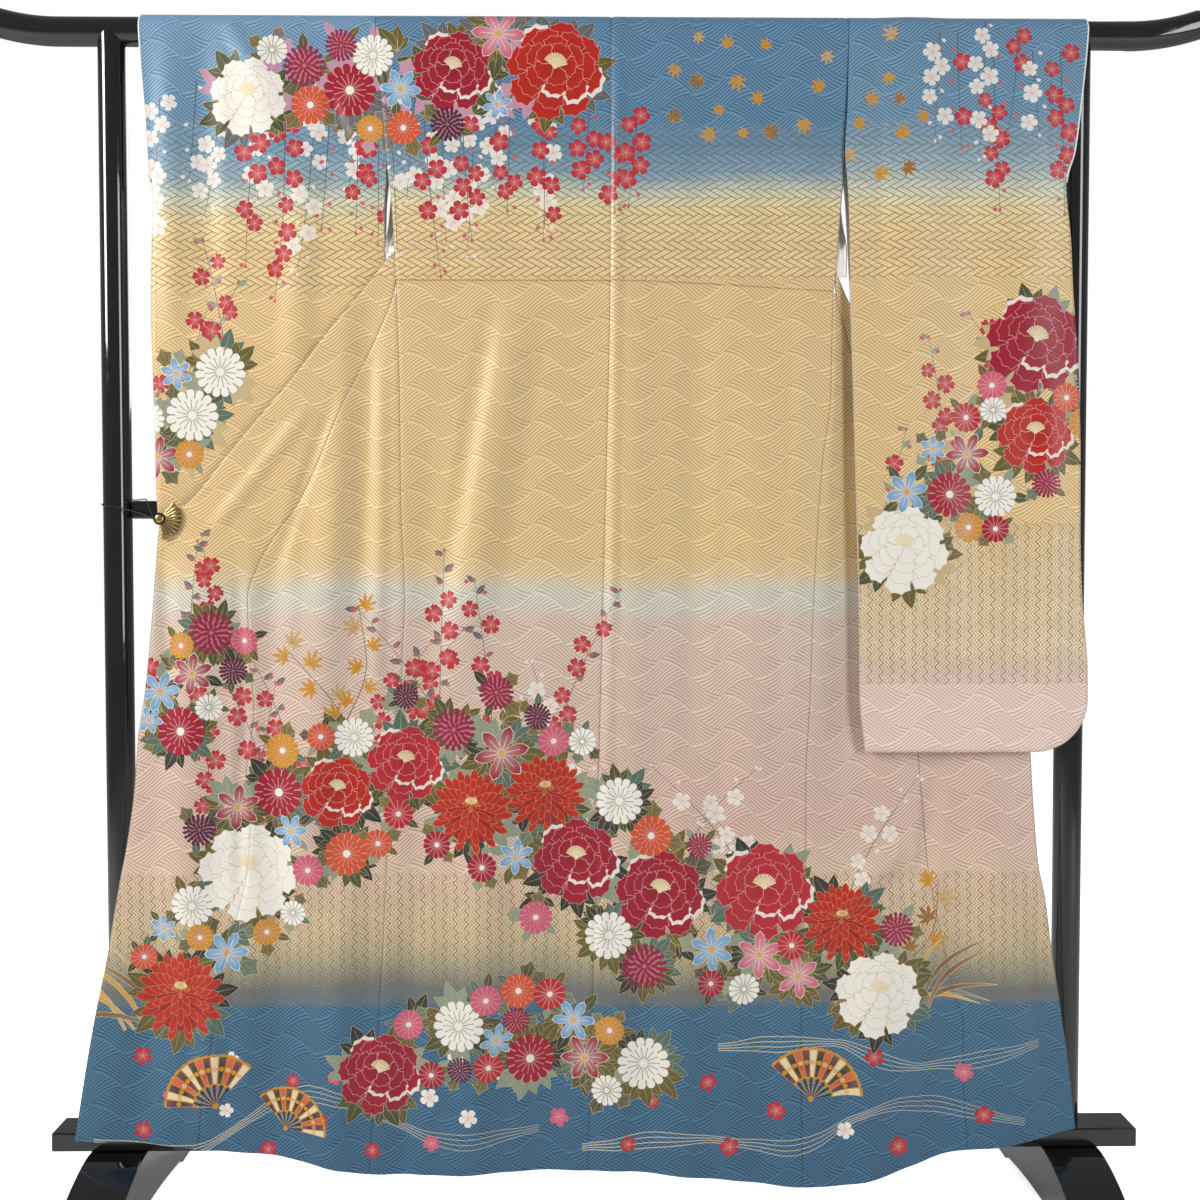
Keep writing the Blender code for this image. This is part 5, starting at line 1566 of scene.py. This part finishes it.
SLEEVE_RIGHT_INNER = smooth_table((
    (1.67, 0.35), (1.557, 0.3475), (1.49, 0.344), (1.45, 0.347), (1.42, 0.349), (1.338, 0.3515),
    (1.035, 0.3618), (0.855, 0.3672), (0.729, 0.3694), (0.65, 0.3783)))
right_front_drape = hung(right_front_near)
FRONTS = (
    ("front_left", OKUMI_SEAM_LEFT, SIDE_LEFT, 1.295, body_drape, "left", (0.24, 1.24), 0.218),
    ("okumi_left", OKUMI_EDGE_LEFT, OKUMI_SEAM_LEFT, 1.3495, body_drape, "left", (0.15, 1.32), 0.175),
    ("front_right", SIDE_RIGHT, OKUMI_SEAM_RIGHT, 1.295, right_front_drape, "right", (0.24, 1.24), 0.186),
    ("okumi_right", OKUMI_SEAM_RIGHT, OKUMI_EDGE_RIGHT, 1.3175, right_front_drape, "right", (0.15, 1.26),
     0.172))
for name, left, right, top, drape, side, cut, area in FRONTS:
    front = hang_panel("kimono_" + name, left, right, HEM, level(top), drape, body_paints)
    settle(front, "silk", name)
    "kimono_back_" + side

# The far side of the body
# The fronts' upper parts hang down the far side of the bar, gathered towards the tips where
# the open fronts begin. The white collar is sewn on round the neck and down both edges.
NECK_MIDDLE, NECK_HALF = 0.0215, 0.085
FAR_TANGENT = DOUBLE - BAR_AXIS
UPPER_FOLD = 0.004


def far_table(rows, at_ridge):
    """An edge of the far side: it starts on the ridge and is read along the cloth."""
    return smooth_table([(RIDGE, at_ridge)] + [(DOUBLE - height, x) for height, x in rows])


NECK_LEFT_ROWS = (
    (1.6585, -0.075), (1.63, -0.083), (1.593, -0.1), (1.54, -0.135), (1.49, -0.175), (1.45, -0.21),
    (1.42, -0.238), (1.385, -0.264), (1.3495, -0.2802))
NECK_RIGHT_ROWS = (
    (1.6585, 0.118), (1.63, 0.126), (1.593, 0.143), (1.54, 0.178), (1.49, 0.22), (1.45, 0.252),
    (1.42, 0.279), (1.385, 0.306), (1.3495, 0.328), (1.3175, 0.3345))
NECK_LEFT = far_table(NECK_LEFT_ROWS, NECK_MIDDLE - NECK_HALF)
NECK_RIGHT = far_table(NECK_RIGHT_ROWS, NECK_MIDDLE + NECK_HALF)
ARM_LEFT = far_table((
    (1.6585, -0.3053), (1.593, -0.298), (1.49, -0.29), (1.45, -0.2885), (1.42, -0.2895),
    (1.3495, -0.2915)), -0.306)
ARM_RIGHT = far_table((
    (1.6585, 0.3497), (1.557, 0.3475), (1.49, 0.344), (1.45, 0.3445), (1.3495, 0.3475),
    (1.3175, 0.347)), 0.35)


def upper_front_far(neck, arm):
    def far(x, z):
        part = (x - arm(DOUBLE - z)) / (neck(DOUBLE - z) - arm(DOUBLE - z))
        gather = ease((1.6 - z) / 0.2) * ease((z - 1.34) / 0.05)
        return UPPER_FRONT_DEPTH(z) + UPPER_FOLD * gather * np.sin(3 * math.pi * part)
    return far


for name, neck, arm, tip in (("front_left_upper", NECK_LEFT, ARM_LEFT, 1.3495),
                             ("front_right_upper", NECK_RIGHT, ARM_RIGHT, 1.3175)):
    left, right = (arm, neck) if neck is NECK_LEFT else (neck, arm)
    drape = hung(back_near, upper_front_far(neck, arm))
    upper = hang_panel("kimono_" + name, left, right, level(RIDGE + SEAM_GAP / 2), level(DOUBLE - tip), drape)
    settle(upper, "silk", name)

COLLAR_WIDTH = 0.055


def collar_rows():
    """The collar from one tip round the neck to the other: x and s at its seam and at its free edge."""
    stations = []
    for rows, neck, side in ((NECK_LEFT_ROWS, NECK_LEFT, 1.0), (NECK_RIGHT_ROWS, NECK_RIGHT, -1.0)):
        tip = DOUBLE - rows[-1][0] - 0.03
        seams = np.linspace(RIDGE + 0.006, tip, 56)
        narrow = 1.0 - 0.65 * ease((seams - tip + 0.12) / 0.12)
        lean = np.radians(78 + (32 - 78) * ease(np.linspace(0, 1, len(seams))))
        rows = []
        for s, part, turn in zip(seams, narrow, lean):
            x, across, along = float(neck(s)), math.cos(turn), math.sin(turn)
            wide = COLLAR_WIDTH * part
            rows.append((x + side * SEAM_GAP / 2, s, x + side * wide * across, s + wide * along))
        stations.append(rows)
    neck_x = NECK_MIDDLE + NECK_HALF * np.linspace(-0.96, 0.96, 25)
    neck = [(x, RIDGE + SEAM_GAP, NECK_MIDDLE + (x - NECK_MIDDLE) * 0.86, RIDGE + SEAM_GAP + COLLAR_WIDTH)
            for x in neck_x]
    return stations[0][::-1] + neck + stations[1]


far_side = hung(back_near, by_height(UPPER_FRONT_DEPTH))
COLLAR_COLUMNS = 11
shown, hidden = [], []
for seam_x, seam_s, free_x, free_s in collar_rows():
    part = np.linspace(0.0, 1.0, COLLAR_COLUMNS)
    across = 1.0 - abs(seam_x - NECK_MIDDLE) / NECK_HALF
    lift = (0.002 + 0.007 * float(ease(across))) * ease(part * 3.0)
    x, s = seam_x + (free_x - seam_x) * part, seam_s + (free_s - seam_s) * part
    out = outward(far_side, x, s)
    shown.append(far_side(x, s) + out * lift[:, None])
    hidden.append(shown[-1] - out * CLOTH)
net = np.arange(len(shown) * COLLAR_COLUMNS).reshape(-1, COLLAR_COLUMNS)
quads = columns(net[:-1, :-1], net[:-1, 1:], net[1:, 1:], net[1:, :-1]).reshape(-1, 4)
rim = round_net(net)
following = np.roll(rim, -1)
sides = columns(rim, following, following + net.size, rim + net.size)
faces = np.vstack([quads, quads[:, ::-1] + net.size, sides]).tolist()
points = np.array(shown + hidden).reshape(-1, 3)
collar = make_piece("kimono_collar", points, faces, lining, smooth_under=60.0)
loops = np.zeros(len(collar.data.loops), np.int32)
collar.data.loops.foreach_get("vertex_index", loops)
fill(collar.data.uv_layers.new(name="flat").uv, "vector", points[loops][:, (0, 2)])
settle(collar, "silk_lining", "collar")

# The sleeves
# Each is one long width of silk that passes over the bar, closed at its bottom and up its
# outer edge as far as the cuff. Cuff and inner edge are open, and the lining shows there.
SLEEVE_BOTTOM, SLEEVE_CORNER, CUFF_STOP = 0.655, 0.075, 1.45
SLEEVE_LEFT_INNER = smooth_table((
    (1.67, -0.306), (1.593, -0.298), (1.49, -0.29), (1.45, -0.291), (1.42, -0.2935), (1.35, -0.2945),
    (1.0, -0.3), (0.65, -0.306)))
SLEEVE_LEFT_OUTER = smooth_table((
    (1.675, -0.629), (1.61, -0.626), (1.516, -0.62), (1.42, -0.617), (1.284, -0.6205), (1.119, -0.616),
    (1.02, -0.6145), (0.92, -0.608), (0.65, -0.611)))
OUTER_RIGHT_ROWS = (
    (1.67, 0.682), (1.626, 0.6785), (1.558, 0.671), (1.49, 0.662), (1.45, 0.6515), (1.366, 0.659),
    (1.298, 0.6625), (1.202, 0.6705), (1.087, 0.6748), (0.952, 0.6765), (0.869, 0.68), (0.769, 0.6885),
    (0.65, 0.69))
SLEEVE_RIGHT_OUTER = smooth_table(OUTER_RIGHT_ROWS)
SLEEVE_RIGHT_OUTER_FAR = smooth_table((
    (1.67, 0.682), (1.63, 0.674), (1.593, 0.6505), (1.45, 0.6505), *OUTER_RIGHT_ROWS[5:]))
LEFT_NEAR_DEPTH = smooth_table(((1.6585, -0.02145), (1.45, -0.0185), (1.3, -0.0155), (0.65, -0.0155)))
LEFT_FAR_DEPTH = smooth_table((
    (1.6585, 0.02145), (1.45, 0.008), (1.2, -0.0045), (1.05, -0.0092), (0.65, -0.0092)))
RIGHT_NEAR_DEPTH = smooth_table(((1.6585, -0.02145), (1.45, -0.0285), (1.3, -0.031), (0.65, -0.033)))
RIGHT_FAR_DEPTH = smooth_table((
    (1.6585, 0.02145), (1.55, 0.013), (1.45, 0.0), (1.35, -0.013), (1.27, -0.021), (1.1, -0.024),
    (0.65, -0.025)))
RIGHT_FAR_OUTER_DEPTH = smooth_table((
    (1.6585, 0.02145), (1.593, 0.02145), (1.54, 0.006), (1.49, -0.011), (1.45, -0.0222), (1.1, -0.024),
    (0.65, -0.025)))
LEFT_SLEEVE_FOLDS = (
    (-0.542, 1.62, -0.538, 1.3, 0.03, -0.0036), (-0.505, 1.66, -0.47, 1.6, 0.022, 0.0022),
    (-0.475, 1.64, -0.44, 1.45, 0.05, 0.005), (-0.368, 1.56, -0.341, 1.492, 0.016, -0.0035),
    (-0.59, 1.6, -0.59, 1.25, 0.03, 0.004), (-0.4, 1.5, -0.42, 1.2, 0.035, 0.004))
RIGHT_SLEEVE_FOLDS = (
    (0.44, 1.62, 0.435, 1.1, 0.06, 0.006), (0.61, 1.6, 0.6, 1.2, 0.05, 0.005),
    (0.55, 1.65, 0.548, 1.5, 0.018, -0.0028), (0.601, 1.65, 0.598, 1.52, 0.016, -0.0028),
    (0.636, 1.65, 0.634, 1.48, 0.014, -0.002), (0.525, 1.35, 0.53, 0.85, 0.04, -0.005),
    (0.63, 1.15, 0.635, 0.75, 0.03, 0.004), (0.39, 1.58, 0.392, 1.3, 0.018, -0.003))


def bag(near_depth, far_depth, outer):
    """The two faces of a sleeve, drawn together where it is sewn shut."""
    def closed(x, z):
        to_side = np.abs(outer(z)) - np.abs(x) + np.where(z > CUFF_STOP, (z - CUFF_STOP) * 2.0, 0.0)
        to_bottom = z - SLEEVE_BOTTOM
        corner = SLEEVE_CORNER - np.hypot(SLEEVE_CORNER - to_side, SLEEVE_CORNER - to_bottom)
        in_corner = (to_side < SLEEVE_CORNER) & (to_bottom < SLEEVE_CORNER)
        off = np.clip(np.where(in_corner, corner, np.minimum(to_side, to_bottom)) / 0.007, 0.0, 1.0)
        return np.sqrt(1 - (1 - off) ** 2)

    def face(depth, gap):
        def drawn_in(x, z):
            middle = (near_depth(x, z) + far_depth(x, z)) / 2 + gap
            return middle + (depth(x, z) - middle) * closed(x, z)
        return drawn_in
    return face(near_depth, -CLOTH * 0.6), face(far_depth, CLOTH * 0.6)


def right_sleeve_far(x, z):
    outer = ease((x - 0.52) / 0.12)
    return RIGHT_FAR_DEPTH(z) * (1 - outer) + RIGHT_FAR_OUTER_DEPTH(z) * outer


def sleeve_outline(inner, outer_near, outer_far):
    """Up one face's outer edge, over the bar, down the other, and back up and down the inner edge."""
    side = math.copysign(1.0, float(outer_near(1.0)))

    def half(outer):
        turns = np.radians(np.linspace(0, 90, 14))
        corner = SLEEVE_BOTTOM + SLEEVE_CORNER
        out_x = abs(float(outer(corner))) - SLEEVE_CORNER
        start = abs(float(inner(SLEEVE_BOTTOM))) + SEAM_GAP / 2
        bottom = [(side * x, SLEEVE_BOTTOM) for x in np.linspace(start, out_x, 34)[:-1]]
        bottom += [(side * (out_x + SLEEVE_CORNER * math.sin(turn)), corner - SLEEVE_CORNER * math.cos(turn))
                   for turn in turns]
        heights = np.linspace(corner, BAR_AXIS, 132)[1:]
        return bottom + [(float(outer(height)), height) for height in heights]

    near = half(outer_near)
    far = [(x, DOUBLE - height) for x, height in half(outer_far)][::-1]
    over = [(float(outer_near(BAR_AXIS)), s) for s in np.linspace(BAR_AXIS, FAR_TANGENT, 11)[1:-1]]
    heights = np.linspace(SLEEVE_BOTTOM, BAR_AXIS, 142)
    inside_edge = [(float(inner(height)) + side * SEAM_GAP / 2, height) for height in heights]
    back = [(x, DOUBLE - height) for x, height in inside_edge[1:]]
    over_inner = [(inside_edge[-1][0], s) for s in np.linspace(BAR_AXIS, FAR_TANGENT, 11)[1:-1][::-1]]
    return np.array(near + over + far + back + over_inner + inside_edge[::-1][:-1])


LEFT_SLEEVE_BANDS = band_table((
    (1.7, 124, 160, 190), (1.49, 120, 158, 184), (1.45, 150, 176, 187), (1.425, 204, 206, 188),
    (1.395, 226, 206, 158), (1.36, 229, 200, 150), (0.6, 229, 200, 149)))
RIGHT_SLEEVE_BANDS = band_table((
    (1.7, 110, 148, 178), (1.52, 118, 154, 178), (1.47, 152, 176, 186), (1.44, 204, 206, 188),
    (1.412, 228, 210, 164), (1.38, 229, 200, 150), (0.985, 229, 200, 149), (0.955, 231, 208, 166),
    (0.8, 236, 218, 186), (0.768, 232, 210, 195), (0.745, 236, 212, 200), (0.6, 239, 214, 202)))


def sleeve_gilt(lattice_foot, has_zigzags):
    """How a sleeve is printed: the lattice near its top, and the zigzags if it has them."""
    def gilt(x, s):
        height = height_seen(s)
        lattice = ease((height - lattice_foot) / 0.06) * (1 - ease((height - 1.49) / 0.07))
        zigzag = ease((0.978 - height) / 0.008) * ease((height - 0.748) / 0.008)
        return gilded(lattice, zigzag * has_zigzags)
    return gilt


SLEEVES = (
    ("left", SLEEVE_LEFT_INNER, SLEEVE_LEFT_OUTER, SLEEVE_LEFT_OUTER, by_height(LEFT_NEAR_DEPTH),
     by_height(LEFT_FAR_DEPTH), LEFT_SLEEVE_FOLDS, LEFT_SLEEVE_BANDS, sleeve_gilt(1.27, 0),
     left_sleeve_paints + on_far_side(right_sleeve_paints, 1, -0.96)),
    ("right", SLEEVE_RIGHT_INNER, SLEEVE_RIGHT_OUTER, SLEEVE_RIGHT_OUTER_FAR, by_height(RIGHT_NEAR_DEPTH),
     right_sleeve_far, RIGHT_SLEEVE_FOLDS, RIGHT_SLEEVE_BANDS, sleeve_gilt(1.29, 1),
     right_sleeve_paints + on_far_side(right_sleeve_paints, -1, 1.04)))
sleeve_drapes = []
for name, inner, outer_near, outer_far, near_depth, far_depth, folds, bands, gilt, paints in SLEEVES:
    drape = hung(*bag(near_depth, far_depth, outer_near), folds)
    sleeve_drapes.append((name, drape, outer_near, outer_far))
    sleeve = lay_cloth("kimono_sleeve_" + name, sleeve_outline(inner, outer_near, outer_far), drape,
                       lambda x, s: bands(height_seen(s)), gilt, shoulder_paints + paints)
    settle(sleeve, "silk", "sleeve_" + name)

# The cuffs
# The sleeves' white lining is rolled a little way out along each sleeve opening.
CUFF_ROLL = 0.0013
for name, drape, outer_near, outer_far in sleeve_drapes:
    side = math.copysign(1.0, float(outer_near(1.0)))
    heights = np.linspace(CUFF_STOP - 0.002, BAR_AXIS, 30)
    over_bar = np.full(11, float(outer_near(BAR_AXIS)))
    xs = np.concatenate([outer_near(heights), over_bar, outer_far(heights)[::-1]])
    ss = np.concatenate([heights, np.linspace(BAR_AXIS, FAR_TANGENT, 13)[1:-1], (DOUBLE - heights)[::-1]])
    xs = xs + side * CUFF_ROLL * 0.6
    middles, ways = drape(xs, ss), outward(drape, xs - side * 0.004, ss)
    rings = []
    for middle, way in zip(middles, ways):
        centre = Vector(middle - way * CLOTH * 0.45)
        rings.append(circle(centre, 1.0, Vector((side * CUFF_ROLL, 0, 0)), Vector(way * 0.00095), sides=12))
    cuff = through_rings("kimono_cuff_" + name, rings, lining)
    settle(cuff, "silk_lining", "cuff_edge_" + name)
    "kimono_sleeve_" + name

# The clip and its elastic
# A clip of cast brass in the shape of a small pleated fan, darkened by age. It grips the left
# front's folded edge, and a black elastic from its boss loops round the left post.
old_brass, tree, surface = new_material("old_brass", (0.42, 0.31, 0.13), 0.34, Metallic=1.0)
groove = Wire(tree, read_attribute(tree, "groove").outputs["Fac"])
stain = noise(tree, tree.nodes.new("ShaderNodeTexCoord").outputs["Object"], 420.0, 4.0)
dark = (groove * 0.85 + stain * 0.35).between(0.15, 0.75)
tarnished = blend_colours(tree, dark, (0.52, 0.38, 0.16, 1.0), (0.045, 0.03, 0.012, 1.0))
tree.links.new(tarnished, surface.inputs["Base Color"])
(dark * 0.3 + 0.28).into(surface.inputs["Roughness"])


def new_maker(name, *inputs):
    """A Geometry Nodes tree that ends in real copies and their material: tree, inputs, last slot."""
    group, start, end = new_group(name, [*inputs, ("Material", "Material")], [("Made", "Geometry")],
                                  "GeometryNodeTree")
    real, coat = group.nodes.new("GeometryNodeRealizeInstances"), group.nodes.new("GeometryNodeSetMaterial")
    group.links.new(real.outputs["Geometry"], coat.inputs["Geometry"])
    group.links.new(start.outputs["Material"], coat.inputs["Material"])
    group.links.new(coat.outputs["Geometry"], end.inputs["Made"])
    return group, start, real.inputs["Geometry"]


def pleats_round_pivot():
    """One pleat instanced round the pivot, each turned on by the same angle."""
    group, start, made = new_maker("pleats_round_pivot", ("Pleat", "Geometry"), ("Count", "Int"),
                                   ("Turn", "Float"), ("Pivot", "Vector"))
    places, copies, moved_up = (group.nodes.new("GeometryNode" + kind)
                                for kind in ("Points", "InstanceOnPoints", "Transform"))
    number = Wire(group, group.nodes.new("GeometryNodeInputIndex").outputs[0])
    turn = group.nodes.new("ShaderNodeCombineXYZ")
    (number * Wire(group, start.outputs["Turn"])).into(turn.inputs["Y"])
    link = group.links.new
    link(start.outputs["Count"], places.inputs["Count"])
    link(places.outputs[0], copies.inputs["Points"])
    link(start.outputs["Pleat"], copies.inputs["Instance"])
    link(turn.outputs[0], copies.inputs["Rotation"])
    link(copies.outputs["Instances"], moved_up.inputs["Geometry"])
    link(start.outputs["Pivot"], moved_up.inputs["Translation"])
    link(moved_up.outputs["Geometry"], made)
    return group


def cord_along_path():
    """A round cord along the path that a chain of edges draws."""
    group, start, made = new_maker("cord_along_path", ("Path", "Geometry"), ("Radius", "Float"),
                                   ("Sides", "Int"))
    path, profile, cord = (group.nodes.new("GeometryNode" + kind)
                           for kind in ("MeshToCurve", "CurvePrimitiveCircle", "CurveToMesh"))
    link = group.links.new
    link(start.outputs["Path"], path.inputs["Mesh"])
    link(start.outputs["Sides"], profile.inputs["Resolution"])
    link(start.outputs["Radius"], profile.inputs["Radius"])
    link(path.outputs["Curve"], cord.inputs["Curve"])
    link(profile.outputs["Curve"], cord.inputs["Profile Curve"])
    link(cord.outputs["Mesh"], made)
    return group


def made_by_nodes(name, points, edges, faces, material, group, values, **attributes):
    """A piece that a tree of nodes makes of a start mesh, turned into a plain mesh."""
    start = bpy.data.meshes.new(name)
    start.from_pydata(points, edges, faces)
    start.materials.append(material)
    for label, numbers in attributes.items():
        start.attributes.new(label, "FLOAT", "POINT").data.foreach_set("value", numbers)
    piece = in_scene(name, start)
    maker = piece.modifiers.new(group.name, "NODES")
    maker.node_group = group
    values = {**values, "Material": material}
    for socket in group.interface.items_tree:
        if socket.in_out == "INPUT" and socket.name in values:
            maker[socket.identifier] = values[socket.name]
    depsgraph = bpy.context.evaluated_depsgraph_get()
    made = bpy.data.meshes.new_from_object(piece.evaluated_get(depsgraph), depsgraph=depsgraph)
    piece.modifiers.remove(maker)
    piece.data = made
    return piece


FAN_PIVOT = Vector((-0.6035, 0.0, 0.9815))
FAN_BACK, FAN_RADIUS, FAN_RIBS, BOSS_RADIUS = -0.0335, 0.03, 11, 0.0085
FIRST_TURN, LAST_TURN, RIB_STEPS = -82, 52, 8
pleat_turn = math.radians(LAST_TURN - FIRST_TURN) / FAN_RIBS
points, faces, grooves = [], [], []
turns = math.radians(FIRST_TURN) + np.linspace(0, pleat_turn, RIB_STEPS + 1)
radii = np.linspace(BOSS_RADIUS - 0.001, FAN_RADIUS, 9)
for number, turn in enumerate(turns):
    ridge = abs(math.sin(math.pi * number / RIB_STEPS)) ** 0.8
    for ring_number, radius in enumerate(radii):
        last = ring_number == len(radii) - 1
        radius = radius - 0.0011 * (1 - ridge) * (radius / FAN_RADIUS) ** 3
        rise = 0.0012 * ridge * (0.4 + 0.6 * radius / FAN_RADIUS)
        bead = 0.0005 if ring_number in (5, 6) else 0.0
        points.append((radius * math.cos(turn), FAN_BACK - 0.0011 - rise - bead + (0.0007 if last else 0.0),
                       radius * math.sin(turn)))
        grooves.append((1 - ridge) ** 2 * 0.9 + (0.25 if last else 0.0))
ring, count = len(radii), len(points)
for turn in turns:
    for radius in (radii[0], FAN_RADIUS - 0.001):
        points.append((radius * math.cos(turn), FAN_BACK, radius * math.sin(turn)))
        grooves.append(0.6)
for number in range(RIB_STEPS):
    a, b = number * ring, count + 2 * number
    faces += [(a + k, a + k + 1, a + ring + k + 1, a + ring + k) for k in range(ring - 1)]
    faces += [(b, b + 2, b + 3, b + 1), (a, a + ring, b + 2, b),
              (a + ring - 1, b + 1, b + 3, a + 2 * ring - 1)]
fan = made_by_nodes("clip_fan", points, [], faces, old_brass, pleats_round_pivot(),
                    {"Count": FAN_RIBS, "Turn": -pleat_turn, "Pivot": FAN_PIVOT}, groove=grooves)
close_up(fan.data, 35.0, joined_under=0.000005)
settle(fan, "old_brass", "fan_clip")

# The boss's rings: how far behind the fan's back, and their radius
rings = []
BOSS_STEPS = ((0.0008, 0.0085), (-0.0022, 0.0085), (-0.003, 0.008), (-0.003, 0.0062), (-0.0034, 0.0058),
              (-0.004, 0.0052), (-0.0046, 0.0036), (-0.0048, 0.0016))
for depth, radius in BOSS_STEPS:
    centre = Vector((FAN_PIVOT.x, FAN_BACK + depth, FAN_PIVOT.z))
    rings.append(circle(centre, radius, Vector((1, 0, 0)), Vector((0, 0, 1))))
boss = through_rings("clip_fan_boss", rings, old_brass)
boss_groove = [0.7 if 0.0058 < math.hypot(v.co.x - FAN_PIVOT.x, v.co.z - FAN_PIVOT.z) < 0.0081 else 0.1
               for v in boss.data.vertices]
boss.data.attributes.new("groove", "FLOAT", "POINT").data.foreach_set("value", boss_groove)
settle(boss, "old_brass", "clip_boss")

elastic, tree, surface = new_material("black_elastic", (0.012, 0.012, 0.013), 0.62)
ELASTIC_RADIUS, SLACK, POST_X, RAIL_TOP, LOOP_FOOT = 0.0008, 0.0004, -0.673, 1.0075, 0.9975
loop = POST_RADIUS + SEAM_GAP + ELASTIC_RADIUS + SLACK
over_rail = RAIL_TOP + SEAM_GAP + ELASTIC_RADIUS + SLACK
start = Vector((FAN_PIVOT.x - BOSS_RADIUS - ELASTIC_RADIUS - SEAM_GAP, FAN_BACK - 0.001, FAN_PIVOT.z))
route = [start, start + Vector((-0.012, 0.0035, 0.005)), start + Vector((-0.03, 0.008, 0.011))]
for part in np.linspace(0, 1, 11):
    turn = math.radians(-75 - 225 * part)
    route.append(Vector((POST_X + loop * math.cos(turn), loop * math.sin(turn),
                         LOOP_FOOT + (over_rail + 0.001 - LOOP_FOOT) * part)))
route += [Vector((-0.6485, 0.006, over_rail)), Vector((-0.638, -0.008, over_rail)),
          Vector((-0.626, -0.02, over_rail - 0.001)), start + Vector((-0.004, 0.004, 0.01)),
          start + Vector((0.0, 0.001, 0.003))]
route = smooth_line(route, 4, closed=True).tolist()
band = made_by_nodes("clip_elastic_loop", route, [(k, (k + 1) % len(route)) for k in range(len(route))], [],
                     elastic, cord_along_path(), {"Radius": ELASTIC_RADIUS, "Sides": 8})
close_up(band.data, 40.0)
settle(band, "elastic", "clip_elastic")
